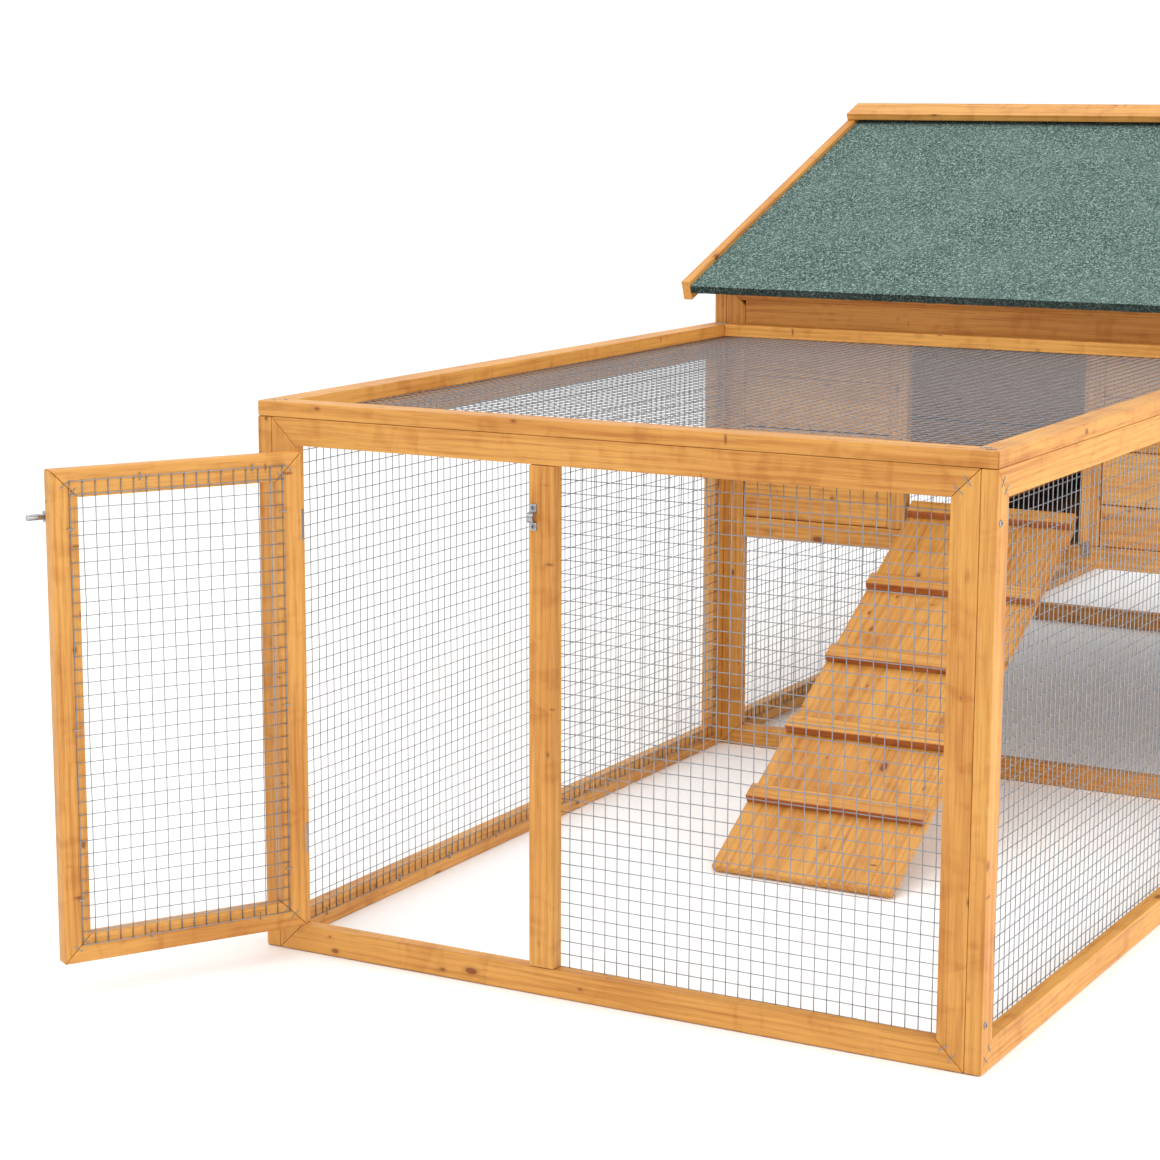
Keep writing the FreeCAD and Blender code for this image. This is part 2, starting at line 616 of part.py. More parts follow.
def tray(label, y, out):
    """A folded sheet tray with a wooden face, drawn out to the right."""
    body = doc.addObject("PartDesign::Body", label + "_pan_body")
    levels = (("outer", "0"), ("inner", "tray_sheet"))
    long = "(width - 2 * batten_thick - 2 * tray_play)"
    features = []
    for step, inset in levels:
        sketch = body.newObject("Sketcher::SketchObject", "%s_%s" % (label, step))
        sketch.AttachmentSupport = (origin_plane(body, "XY_Plane"), [""])
        sketch.MapMode = "FlatFace"
        if step == "inner":
            sketch.AttachmentOffset = FreeCAD.Placement(V(0, 0, number("tray_wall")), FLAT)
            sketch.setExpression("AttachmentOffset.Base.z", sized("tray_wall"))
        rectangle(sketch, inset, inset, long + " - " + inset, TRAY_WIDE + " - " + inset)
        features.append(sketch)
    pad = body.newObject("PartDesign::Pad", label + "_pad")
    pad.Profile = features[0]
    bind(pad, Length="tray_wall")
    pocket = body.newObject("PartDesign::Pocket", label + "_pocket")
    pocket.Profile = features[1]
    bind(pocket, Length="tray_wall - tray_sheet")
    shift = INNER_LEFT + " + tray_play + (%s)" % out
    place(body, shift, y, FLOOR_TOP + " + part_gap")
    keep(label + "_tray_pan", body)
    face_x = RIGHT + " - batten_thick + (%s)" % out
    face = box(label + "_face", ("batten_thick", HATCH_WIDE + " - 2 * part_gap", "slot_height - 2 * part_gap"),
               face_x, y + " - tray_play + part_gap", FLOOR_TOP + " + part_gap")
    keep(label + "_tray_face", face)
    knob = doc.addObject("Part::Cone", label + "_knob")
    bind(knob, Radius1="0.6 * knob_rad", Radius2="knob_rad", Height="knob_length")
    place(knob, face_x + " + batten_thick", y + " + %s / 2" % TRAY_WIDE, FLOOR_TOP + " + slot_height / 2",
          FreeCAD.Rotation(V(0, 0, 1), V(1, 0, 0)))
    keep(label + "_tray_knob", knob)


def rectangle(sketch, x0, y0, x1, y1):
    """A closed rectangle whose two corners are expressions."""
    corners = [(x0, y0), (x1, y0), (x1, y1), (x0, y1)]
    probe = [V(number(a), number(b), 0) for a, b in corners]
    for index in range(4):
        sketch.addGeometry(Part.LineSegment(probe[index], probe[(index + 1) % 4]))
    for index in range(4):
        sketch.addConstraint(Sketcher.Constraint("Coincident", index, 2, (index + 1) % 4, 1))
    for index in (0, 2):
        sketch.addConstraint(Sketcher.Constraint("Horizontal", index))
        sketch.addConstraint(Sketcher.Constraint("Vertical", index + 1))
    for index, pair in ((0, corners[0]), (2, corners[2])):
        for kind, text in zip(("DistanceX", "DistanceY"), pair):
            rule = sketch.addConstraint(Sketcher.Constraint(kind, -1, 1, index, 1, number(text)))
            sketch.setExpression("Constraints[%d]" % rule, sized(text))


def house_door(label, hinge_y, side):
    """A planked door in the right wall; side 1 is hung at the front, -1 at the rear."""
    gap_hinge = "hinge_gap"
    wide = "(%s - hinge_gap - hatch_gap)" % HATCH_WIDE
    low = "%s + %s" % (hinge_y, gap_hinge) if side > 0 else "%s - %s - %s" % (hinge_y, gap_hinge, wide)
    plank = "((hatch_height - 2 * hatch_gap) / 2)"
    pieces = []
    outline = plank_outline("hatch_thick", "(%s - plank_seam / 2)" % plank, -1)
    for row in range(2):
        pieces.append(prism("%s_hatch_plank%d" % (label, row), "XZ_Plane", outline, wide,
                            RIGHT + " - hatch_thick", "%s + %s" % (low, wide),
                            HATCH_LOW + " + hatch_gap + %d * %s" % (row, plank)))
    for row, share in enumerate((0.12, 0.88)):
        pieces.append(box("%s_hatch_ledge%d" % (label, row), ("10", "batten_width", "hatch_height - 12"),
                          RIGHT + " - hatch_thick - 10", "%s + %s * %s - batten_width / 2" % (low, wide, share),
                          HATCH_LOW + " + 6"))
    keep(label + "_house_door", group(label + "_hatch_group", pieces))
    turn = FreeCAD.Rotation(V(0, 1, 0), V(-1, 0, 0), V(0, 0, 1), "XYZ")
    if side < 0:
        turn = FreeCAD.Rotation(V(0, -1, 0), V(-1, 0, 0), V(0, 0, -1), "XYZ")
    axis_y = "%s + %d * hinge_gap / 2" % (hinge_y, side)
    leaves = []
    for name, level in (("low", HATCH_LOW + " + 0.2 * hatch_height"), ("high", HATCH_LOW + " + 0.8 * hatch_height")):
        where = (RIGHT + " + hinge_out", axis_y, level)
        leaves.append(copy_of("%s_hatch_%s" % (label, name), MOVING_LEAF, *where, turn))
        fixed_hinge("%s_hatch_fixed_%s" % (label, name), *where, turn)
    keep(label + "_house_door_leaves", group(label + "_hatch_leaves", leaves))


def turn_button():
    """The button between the two house doors, stored upright so that both can open."""
    body = prism("button", "YZ_Plane",
                 [("-button_width / 2", "-button_length / 2"), ("button_width / 2", "-button_length / 2"),
                  ("button_width / 2", "button_length / 2"), ("-button_width / 2", "button_length / 2")],
                 "button_thick", RIGHT + " + part_gap", MIDDLE, HATCH_LOW + " + hatch_height / 2")
    bore = rod("button_bore", "screw_rad / 2 + pin_play", "4 * button_thick", RIGHT + " - button_thick", MIDDLE,
               HATCH_LOW + " + hatch_height / 2", V(1, 0, 0))
    keep("turn_button", cut("button_cut", body, bore))
    shank = rod("button_shank", "screw_rad / 2", "button_thick + 2 * part_gap", RIGHT, MIDDLE,
                HATCH_LOW + " + hatch_height / 2", V(1, 0, 0))
    head = rod("button_head", "screw_rad", "screw_head", RIGHT + " + button_thick + 2 * part_gap", MIDDLE,
               HATCH_LOW + " + hatch_height / 2", V(1, 0, 0))
    keep("turn_button_screw", joined("button_screw", [shank, head]))


# ---------------------------------------------------------------- roof
EAVE_Z = "(wall_height - eave * %s)" % SLOPE
COS = "cos(roof_pitch * 1deg)"
SIN = "sin(roof_pitch * 1deg)"
HALF = "(house_depth / 2 + eave)"


def slope_point(along, off):
    """A point of the front slope: distance up the slope and height off the boards' underside."""
    return ("(%s) * %s - (%s) * %s" % (along, COS, off, SIN),
            "%s + (%s) * %s + (%s) * %s" % (EAVE_Z, along, SIN, off, COS))


def ridge_point(off):
    """The point of a layer on the ridge's upright middle plane."""
    return (HALF, "%s + %s * %s + (%s) / %s" % (EAVE_Z, HALF, SLOPE, off, COS))


def slope_layer(name, corners, start, length, far):
    """A layer of one slope, padded along the ridge."""
    if far:
        corners = [("2 * %s - (%s)" % (HALF, across), up) for across, up in reversed(corners)]
    return prism(name, "YZ_Plane", corners, length, start, HOUSE + " - eave", "0")


def both_slopes(node, corners, start, length):
    """The same layer on the front and the rear slope."""
    near = slope_layer(node + "_near", corners, start, length, False)
    far = slope_layer(node + "_far", corners, start, length, True)
    return [near, far]


def roof():
    """Boards, felt, barge boards, ridge batten and ridge cappings."""
    start = LEFT + " - verge + barge_thick"
    length = "width + 2 * verge - 2 * barge_thick"
    boards = [slope_point("0", "0"), ridge_point("0"), ridge_point("roof_board"), slope_point("0", "roof_board")]
    keep("roof_boards", group("roof_board_group", both_slopes("roof_board_layer", boards, start, length)))
    over = "roof_board + felt"
    skin = [slope_point("-felt", "0"), slope_point("0", "0"), slope_point("0", "roof_board"),
            ridge_point("roof_board"), ridge_point(over), slope_point("-felt", over)]
    keep("roof_felt", group("roof_felt_group", both_slopes("felt_layer", skin, start, length)))
    top = over + " + barge_proud"
    low = top + " - barge_depth"
    barge = [slope_point("-felt", low), ridge_point(low), ridge_point(top), slope_point("-felt", top)]
    boards = both_slopes("barge_left", barge, LEFT + " - verge", "barge_thick")
    boards += both_slopes("barge_right", barge, RIGHT + " + verge - barge_thick", "barge_thick")
    keep("barge_boards", group("barge_group", boards))
    reach = "(%s / %s - cap_width)" % (HALF, COS)
    cap = [slope_point(reach, top), ridge_point(top), ridge_point(top + " + cap_thick"),
           slope_point(reach, top + " + cap_thick")]
    caps = both_slopes("cap_layer", cap, LEFT + " - verge", "width + 2 * verge")
    keep("ridge_cappings", group("cap_group", caps))
    batten_reach = "(%s / %s - cap_width / 2)" % (HALF, COS)
    batten = [slope_point(batten_reach, over), ridge_point(over), ridge_point(top), slope_point(batten_reach, top)]
    keep("ridge_battens", group("ridge_batten_group", both_slopes("ridge_batten_layer", batten, start, length)))


# ---------------------------------------------------------------- ramp
RAMP_Y = HOUSE + " - hinge_out"
RAMP_Z = FLOOR_TOP + " + ramp_axis_up"
RAMP_OFF = "hinge_gap / 2"
RAMP_COS = "cos(ramp_angle * 1deg)"
RAMP_SIN = "sin(ramp_angle * 1deg)"
RAMP_LENGTH = "((%s + (%s) * %s - foot_gap) / %s)" % (RAMP_Z, RAMP_OFF, RAMP_COS, RAMP_SIN)


def tilted(node, thing):
    """Place a ramp piece, made level about the hinge axis, at the ramp's slope."""
    place(thing, "0", RAMP_Y, RAMP_Z)
    thing.Placement.Rotation = FreeCAD.Rotation(V(1, 0, 0), number("ramp_angle"))
    thing.setExpression(".Placement.Rotation.Angle", sized("ramp_angle"))
    return keep(node, thing)


def ramp():
    """The board, its cleats and the leaves it hangs on."""
    board = box("ramp_plank", ("ramp_width", RAMP_LENGTH + " + ramp_end", "ramp_thick"), "-ramp_width / 2",
                "-" + RAMP_LENGTH, RAMP_OFF)
    grooves = []
    reach = "knuckle_rad + groove_play"
    for side, x in (("left", "-ramp_width / 3"), ("right", "ramp_width / 3")):
        grooves.append(box("ramp_groove_" + side, ("hinge_length + 4", "2 * (" + reach + ")", "2 * (" + reach + ")"),
                           x + " - hinge_length / 2 - 2", "-(" + reach + ")", "-(" + reach + ")"))
    board = cut("ramp_grooved", board, group("ramp_grooves", grooves))
    tilted("ramp_board", group("ramp_board_group", [board]))
    cleats = []
    for index in range(5):
        reach = "cleat_first + %d * cleat_pitch + %d * cleat_growth" % (index, index * (index - 1) / 2)
        cleats.append(box("cleat%d" % index, ("ramp_width", "cleat_width", "cleat_thick"), "-ramp_width / 2",
                          "-%s + %s" % (RAMP_LENGTH, reach), RAMP_OFF + " + ramp_thick"))
    tilted("ramp_cleats", group("cleat_group", cleats))
    moving = FreeCAD.Rotation(V(0, 0, 1), V(0, -1, 0), V(1, 0, 0), "XYZ")
    leaves = []
    for side, x in (("left", "-ramp_width / 3"), ("right", "ramp_width / 3")):
        leaves.append(copy_of("ramp_leaf_" + side, RAMP_LEAF, x, "0", "0", moving))
        fixed_hinge_at_rail("ramp_fixed_" + side, x)
    tilted("ramp_hinge_leaves", group("ramp_leaf_group", leaves))


def fixed_hinge_at_rail(name, x):
    """The ramp hinge's fixed leaf, flat on the front of the floor rail."""
    down = FreeCAD.Rotation(V(0, 1, 0), V(0, 0, -1), V(-1, 0, 0), "XYZ")
    fixed_leaves.append(copy_of(name + "_leaf", RAIL_LEAF, x, RAMP_Y, RAMP_Z, down))
    pins.append(copy_of(name + "_pin", PIN, x, RAMP_Y, RAMP_Z, down))


def strap_leaf(name, side, offset):
    """A leaf whose plate stands at a given offset from the axis, for the ramp."""
    spans = [("-hinge_length / 6 + part_gap / 2", "hinge_length / 3 - part_gap")]
    if side < 0:
        spans = [("-hinge_length / 2", BARREL), ("hinge_length / 6 + part_gap / 2", BARREL)]
    pieces = [box(name + "_plate", ("leaf_thick", "ramp_leaf", "hinge_length"), offset, "knuckle_rad + 1",
                  "-hinge_length / 2")]
    for index, (start, length) in enumerate(spans):
        label = "%s_%d" % (name, index)
        pieces.append(rod(label + "_knuckle", "knuckle_rad", length, "0", "0", start))
        pieces.append(box(label + "_tab", ("leaf_thick", "knuckle_rad + 2", length), offset, "0", start))
    bore = rod(name + "_bore", "pin_rad + pin_play", "2 * hinge_length", "0", "0", "-hinge_length")
    return cut(name, joined(name + "_solid", pieces), bore)


RAMP_LEAF = strap_leaf("ramp_leaf", 1, "hinge_gap / 2 - leaf_thick")
RAIL_LEAF = strap_leaf("rail_leaf", -1, "hinge_out - leaf_thick")


def jamb_plate():
    """A small steel plate that ties the right jamb to the floor rail."""
    plate = box("jamb_plate_box", ("joint_plate", "leaf_thick", 17), "pop_width / 2 + part_gap + 3",
                HOUSE + " - leaf_thick", FLOOR_TOP + " - 13")
    keep("jamb_plate", plate)


# ---------------------------------------------------------------- screws
def screws():
    """Heads of the screws that hold the side panels to the cross panels."""
    rows = ((FRONT + " + batten_thick / 2", ("45", "panel_height - 47")),
            (HOUSE + " + batten_thick / 2", ("45", "floor_rail + batten_width / 2", "wall_height - 40")),
            (BACK + " - batten_thick / 2", ("45", "floor_rail + batten_width / 2", "wall_height - 40")),
            (REAR_END + " - batten_thick / 2", ("45", "panel_height - 47")))
    heads = []
    for line, (y, levels) in enumerate(rows):
        for step, level in enumerate(levels):
            for side, x in (("left", LEFT + " - screw_head"), ("right", RIGHT)):
                name = "screw_%s_%d_%d" % (side, line, step)
                heads.append(rod(name, "screw_rad", "screw_head", x, y, level, V(1, 0, 0)))
    keep("corner_screws", group("screw_group", heads))


# ---------------------------------------------------------------- assembly
front_panel()
run_sides("front_run", FRONT)
run_lid("front_run", FRONT)
run_sides("rear_run", BACK)
run_lid("rear_run", BACK)
rear_end_panel()
cross_wall("house_front", HOUSE, 1, True)
cross_wall("house_back", BACK, -1, False)
end_wall("house_left", LEFT, 1, False)
end_wall("house_right", RIGHT + " - batten_thick", -1, True)
partition_wall()
tray_runners()
tray("front", HOUSE + " + batten_width + tray_play", "tray_out")
tray("rear", MIDDLE + " + batten_width / 2 + tray_play", "0")
house_door("front", HOUSE + " + batten_width", 1)
house_door("rear", BACK + " - batten_width", -1)
turn_button()
roof()
run_door()
barrel_bolt()
keeper()
ramp()
jamb_plate()
screws()
keep("fixed_hinge_leaves", group("fixed_leaf_group", fixed_leaves))
keep("hinge_pins", group("pin_group", pins))
doc.recompute()

for thing in doc.Objects:
    if "Invalid" in thing.State or "Error" in thing.State:
        raise RuntimeError("%s failed: %s" % (thing.Name, thing.State))
for node, thing in parts.items():
    if thing.Shape.isNull() or not thing.Shape.isValid() or not thing.Shape.Solids:
        raise RuntimeError("%s has no sound shape" % node)

os.makedirs("parts", exist_ok=True)
for node, thing in parts.items():
    thing.Shape.exportStep("parts/%s.step" % node)
print(len(parts), "sub-parts")
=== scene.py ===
import json
import math

import bmesh
import bpy
from bpy.props import FloatProperty, FloatVectorProperty, IntProperty, PointerProperty
from mathutils import Matrix, Vector, noise


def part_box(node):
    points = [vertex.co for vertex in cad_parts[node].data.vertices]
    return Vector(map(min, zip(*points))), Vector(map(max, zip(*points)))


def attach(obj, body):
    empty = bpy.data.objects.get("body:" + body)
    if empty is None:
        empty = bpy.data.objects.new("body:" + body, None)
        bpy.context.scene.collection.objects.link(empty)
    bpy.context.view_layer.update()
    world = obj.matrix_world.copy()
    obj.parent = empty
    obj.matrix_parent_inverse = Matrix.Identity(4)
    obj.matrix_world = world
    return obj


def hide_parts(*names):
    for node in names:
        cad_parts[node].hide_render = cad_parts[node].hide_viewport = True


bl_info = {
    "name": "Hen Coop Maker",
    "version": (1, 0, 0),
    "blender": (4, 5, 0),
    "location": "3D View > Sidebar > Hen Coop",
    "description": "Builds the timber, wire, felt and fittings of a hen coop around its frame",
    "category": "Object",
}

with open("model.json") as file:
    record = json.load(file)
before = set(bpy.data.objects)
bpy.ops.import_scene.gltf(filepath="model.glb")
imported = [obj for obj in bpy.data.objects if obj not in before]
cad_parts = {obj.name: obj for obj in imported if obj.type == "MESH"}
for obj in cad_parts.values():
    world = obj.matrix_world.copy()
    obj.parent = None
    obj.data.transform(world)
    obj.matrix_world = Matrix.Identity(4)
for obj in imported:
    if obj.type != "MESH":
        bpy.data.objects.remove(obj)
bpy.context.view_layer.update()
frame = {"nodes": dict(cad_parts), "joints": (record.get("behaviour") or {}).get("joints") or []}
JOINTS = {joint["name"]: joint for joint in frame["joints"]}

X = Vector((1, 0, 0))
Y = Vector((0, 1, 0))
Z = Vector((0, 0, 1))


# ------------------------------------------------------------------ settings
def length(name, default, description):
    """A length that a user may change, in metres."""
    return FloatProperty(name=name, description=description, default=default, min=0, unit="LENGTH")


def angle(name, degrees, description):
    """A turn that a user may change, given in degrees."""
    return FloatProperty(name=name, description=description, default=math.radians(degrees),
                         subtype="ANGLE", unit="ROTATION")


def power(name, default, description):
    """The strength of a light."""
    return FloatProperty(name=name, description=description, default=default, min=0)


def colour(name, default, description):
    """A linear colour that a user may change."""
    return FloatVectorProperty(name=name, description=description, default=default, size=3,
                               min=0, max=1, subtype="COLOR")


class TimberSettings(bpy.types.PropertyGroup):
    batten: length("Batten width", 0.027, "Face width of the battens")
    rounding: length("Rounded edge", 0.0009, "Radius worn onto each batten's edges")
    groove: length("Plank edge", 0.0022, "Bevel along the edges of the wall planks")
    joint: length("Joint gap", 0.0003, "Open line between neighbouring boards")
    seam: length("Seam", 0.0002, "Play at each end of a plank or a short batten")
    floor_rail: length("Floor rail", 0.276, "Underside of the rail at floor level")
    plank: length("Plank pitch", 0.0656, "Pitch of the wall planks")
    first_plank: length("First plank", 0.0514, "Part of the lowest plank above the floor rail")
    slat: length("Slat", 0.020, "Height of the header and sills round the house doors")
    light: colour("Light stain", (0.68, 0.330, 0.072), "Early wood of the stained pine")
    deep: colour("Deep stain", (0.45, 0.160, 0.022), "Late wood of the stained pine")
    knot: colour("Knot", (0.22, 0.052, 0.010), "Heart of a knot")


class DoorSettings(bpy.types.PropertyGroup):
    wide: length("Width", 0.2544, "Width of the run door")
    inset: length("Inset", 0.0013, "From the hinge pins' line to the door's edge")
    face: length("Face", 0.0032, "From the hinge pins' line to the door's outer face")
    thick: length("Thickness", 0.016, "Thickness of the door's battens")
    lap: length("Wire lap", 0.010, "How far the door's wire lies on its battens")
    opened: angle("Opened", -120.0, "How far the door stands open")


class DoorwaySettings(bpy.types.PropertyGroup):
    half: length("Half width", 0.1135, "Half the clear width of the hens' doorway")
    jamb: length("Jamb", 0.024, "Width of the two jamb battens")
    high: length("Height", 0.240, "Height of the hens' doorway above the floor rail")


class WireSettings(bpy.types.PropertyGroup):
    pitch: length("Pitch", 0.0127, "Spacing of the welded wires")
    gauge: length("Gauge", 0.00095, "Diameter of the wires")
    wander: length("Wander", 0.0006, "How far the wires wander from straight")
    step: length("Step", 0.04, "Length of the pieces that a wire bends in")
    sides: IntProperty(name="Sides", description="Sides of a wire's section", default=6, min=4, max=16)
    zinc: colour("Zinc", (0.30, 0.31, 0.33), "Galvanised wire")


class RoofSettings(bpy.types.PropertyGroup):
    pitch: angle("Pitch", 20.8, "Slope of the roof")
    overhang: length("Overhang", 0.03, "Overhang of the boards at the eaves")
    rows: IntProperty(name="Rows", description="Boards on each slope", default=6, min=1)
    board: length("Boards", 0.009, "Thickness of the roof boards")
    felt: length("Felt", 0.0025, "Thickness of the felt")
    unevenness: length("Unevenness", 0.0005, "How far the felt's surface dips")
    proud: length("Barge above felt", 0.005, "Top of the barge boards above the felt")
    depth: length("Barge depth", 0.025, "Depth of the barge boards")
    barge: length("Barge thickness", 0.012, "Thickness of the barge boards")
    cap: length("Capping width", 0.033, "Width of each ridge capping")
    cap_thick: length("Capping thickness", 0.0095, "Thickness of the ridge cappings")
    green: colour("Felt green", (0.054, 0.108, 0.091), "Dark mineral grains")
    fleck: colour("Felt fleck", (0.37, 0.48, 0.445), "Pale mineral grains")


class RampSettings(bpy.types.PropertyGroup):
    wide: length("Width", 0.214, "Width of the ramp's board")
    lift: length("Lift", 0.0013, "Underside of the board above the hinge pins' line")
    thick: length("Thickness", 0.009, "Thickness of the board")
    end: length("Upper end", 0.012, "Length of the board beyond the hinge pins")
    slope: angle("Slope", 30.0, "Slope of the lowered ramp")
    cleats: FloatVectorProperty(name="Cleats", description="Places of the cleats, from the board's lower end",
                                default=(0.1025, 0.2205, 0.3472, 0.4826, 0.6267), size=5, min=0,
                                unit="LENGTH")
    cleat_wide: length("Cleat width", 0.022, "Width of a cleat along the ramp")
    cleat_thick: length("Cleat thickness", 0.010, "Height of a cleat above the board")


class FittingSettings(bpy.types.PropertyGroup):
    screw: length("Corner screw", 0.0032, "Radius of a corner screw's head")
    keeper_screw: length("Keeper screw", 0.0025, "Radius of a keeper screw's head")
    bolt_screw: length("Bolt screw", 0.0022, "Radius of a bolt screw's head")
    plate_screw: length("Plate screw", 0.0014, "Radius of a jamb plate screw's head")
    strap: length("Keeper strap", 0.001, "Thickness of the keeper's strap")
    hoop: length("Keeper hoop", 0.005, "Outer radius of the keeper's hoop")
    reach: length("Hoop reach", 0.0037, "From the mullion's face to the centre of the keeper's hoop")
    staple: length("Staple wire", 0.0005, "Radius of a staple's wire")
    leg: length("Staple leg", 0.0024, "Part of a staple's leg that goes into the wood")
    crown: length("Mitre staple", 0.010, "Width of the staples over the mitres")
    edge_crown: length("Wire staple", 0.0062, "Width of the staples along the wire")
    spacing: length("Staple spacing", 0.12, "Spacing of the staples along the wire")


class StageSettings(bpy.types.PropertyGroup):
    floor: colour("Floor", (0.985, 0.985, 0.985), "Pale floor")
    sky: power("Fill", 1.03, "Strength of the even fill light")
    key: power("Key", 38.0, "Power of the soft key light")
    side: power("Side", 40.0, "Power of the side light")
    top: power("Top", 70.0, "Power of the overhead light")
    low: power("Low", 3.2, "Power of the low light by the right-hand rail")
    lens: FloatProperty(name="Lens", description="Focal length in millimetres", default=86.28, min=1)
    tilt: angle("Tilt", -10.55, "How far the camera looks down")
    turn: angle("Turn", 29.83, "How far the camera is turned to the left")


# ------------------------------------------------------------------ shared making
def timber():
    return bpy.context.scene.coop_timber


def door():
    return bpy.context.scene.coop_door


def doorway():
    return bpy.context.scene.coop_doorway


def wire():
    return bpy.context.scene.coop_wire


def roofing():
    return bpy.context.scene.coop_roof


def ramp():
    return bpy.context.scene.coop_ramp


def fittings():
    return bpy.context.scene.coop_fittings


def basis(x_axis, y_axis, origin):
    """A matrix that takes the first two local axes to the given ones, about an origin."""
    x_axis = Vector(x_axis).normalized()
    y_axis = Vector(y_axis).normalized()
    turn = Matrix((x_axis, y_axis, x_axis.cross(y_axis))).transposed()
    return Matrix.Translation(origin) @ turn.to_4x4()


def new_mesh():
    """An empty bmesh whose points carry where they lie in their own board."""
    bm = bmesh.new()
    bm.verts.layers.float_vector.new("grain")
    return bm


def join(bm, part):
    """Add one finished part to a piece."""
    scratch = bpy.data.meshes.new("scratch")
    part.to_mesh(scratch)
    part.free()
    bm.from_mesh(scratch)
    bpy.data.meshes.remove(scratch)


def board(bm, size, place, cuts=(), rounding=None, seed=0.0, gap=None):
    """One sawn board: a block cut by planes, its edges eased, its grain along its own X."""
    gap = timber().joint if gap is None else gap
    size = [span - gap for span in size]
    part = new_mesh()
    bmesh.ops.create_cube(part, size=1.0)
    bmesh.ops.scale(part, vec=size, verts=part.verts)
    bmesh.ops.transform(part, matrix=place, verts=part.verts)
    for point, outward in cuts:
        geom = part.verts[:] + part.edges[:] + part.faces[:]
        cut = bmesh.ops.bisect_plane(part, geom=geom, dist=1e-7, plane_co=point, plane_no=outward,
                                     clear_outer=True)
        rim = [item for item in cut["geom_cut"] if isinstance(item, bmesh.types.BMEdge)]
        if rim:
            bmesh.ops.edgenet_fill(part, edges=rim)
    edges = [edge for edge in part.edges if len(edge.link_faces) == 2 and edge.calc_face_angle() > 0.3]
    width = timber().rounding if rounding is None else rounding
    bmesh.ops.bevel(part, geom=edges, offset=width, offset_type="OFFSET", segments=2, profile=0.5,
                    material=-1, affect="EDGES", clamp_overlap=True)
    bmesh.ops.recalc_face_normals(part, faces=part.faces)
    grain = part.verts.layers.float_vector["grain"]
    back = place.inverted()
    shift = Vector((seed * 0.731, 0.03 + 0.04 * math.sin(seed * 2.3), 0.035 * math.cos(seed * 1.7)))
    for vert in part.verts:
        vert[grain] = back @ vert.co + shift
    join(bm, part)


def block(bm, low, high, along, cuts=(), rounding=None, seed=0.0):
    """A board between two corners, its grain along X, Y or Z."""
    low, high = Vector(low), Vector(high)
    size = high - low
    axes = {"X": (X, Y), "Y": (Y, Z), "Z": (Z, X)}[along]
    sizes = {"X": (size.x, size.y, size.z), "Y": (size.y, size.z, size.x),
             "Z": (size.z, size.x, size.y)}[along]
    board(bm, sizes, basis(axes[0], axes[1], (low + high) / 2), cuts, rounding, seed)


def mitred(bm, corner, across, up, wide, high, thick, seed=0.0, trim=None):
    """Four battens mitred into a frame, from its lower corner; thickness lies on across x up."""
    width = timber().batten
    through = across.cross(up)
    corners = [corner, corner + across * wide, corner + across * wide + up * high, corner + up * high]
    ways = [across, up, -across, -up]
    insides = [up, -across, -up, across]
    lengths = [wide, high, wide, high]
    for side in range(4):
        way, inside = ways[side], insides[side]
        middle = corners[side] + way * lengths[side] / 2 + inside * width / 2 + through * thick / 2
        start_cut = (inside - way).normalized()
        end_cut = (inside + way).normalized()
        cuts = [(corners[side] - start_cut * timber().joint / 2, start_cut),
                (corners[(side + 1) % 4] - end_cut * timber().joint / 2, end_cut)]
        if trim and side == 2:
            cuts.append(trim)
        board(bm, (lengths[side], width, thick), basis(way, inside, middle), cuts,
              seed=seed + side * 1.37)


def cross_frame(bm, low, high, seed, trim=None):
    """A mitred frame that stands across the coop, on the ground."""
    mitred(bm, Vector((low.x, high.y, 0)), X, Z, high.x - low.x, high.z, high.y - low.y, seed, trim)


def finish_piece(bm, name, body, finish, nodes=(), place=None, smooth=False, second=None):
    """Turn a bmesh into a finished piece that rides on a body."""
    if place is not None:
        bmesh.ops.transform(bm, matrix=place, verts=bm.verts)
    mesh = bpy.data.meshes.new(name)
    bm.to_mesh(mesh)
    bm.free()
    for face in mesh.polygons:
        face.use_smooth = smooth
    piece = bpy.data.objects.new(name, mesh)
    bpy.context.scene.collection.objects.link(piece)
    mesh.materials.append(finish)
    if second:
        mesh.materials.append(second)
    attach(piece, body)
    if nodes:
        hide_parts(*nodes)
    return piece


def finish_timber(bm, name, node, body="coop", place=None):
    """Finish a piece of honey stained pine."""
    finish_piece(bm, name, body, material("pine"), (node,), place)


def rod(bm, start, end, radius, sides=12, tip=None):
    """A round bar between two points."""
    start, end = Vector(start), Vector(end)
    way = end - start
    turn = Z.rotation_difference(way).to_matrix().to_4x4()
    bmesh.ops.create_cone(bm, cap_ends=True, segments=sides, radius1=radius,
                          radius2=radius if tip is None else tip, depth=way.length,
                          matrix=Matrix.Translation((start + end) / 2) @ turn)


def joint_place(name, turn, axis):
    """The matrix of a piece made at its joint, turned to where it rests."""
    return Matrix.Translation(JOINTS[name]["pos_m"]) @ Matrix.Rotation(turn, 4, axis)


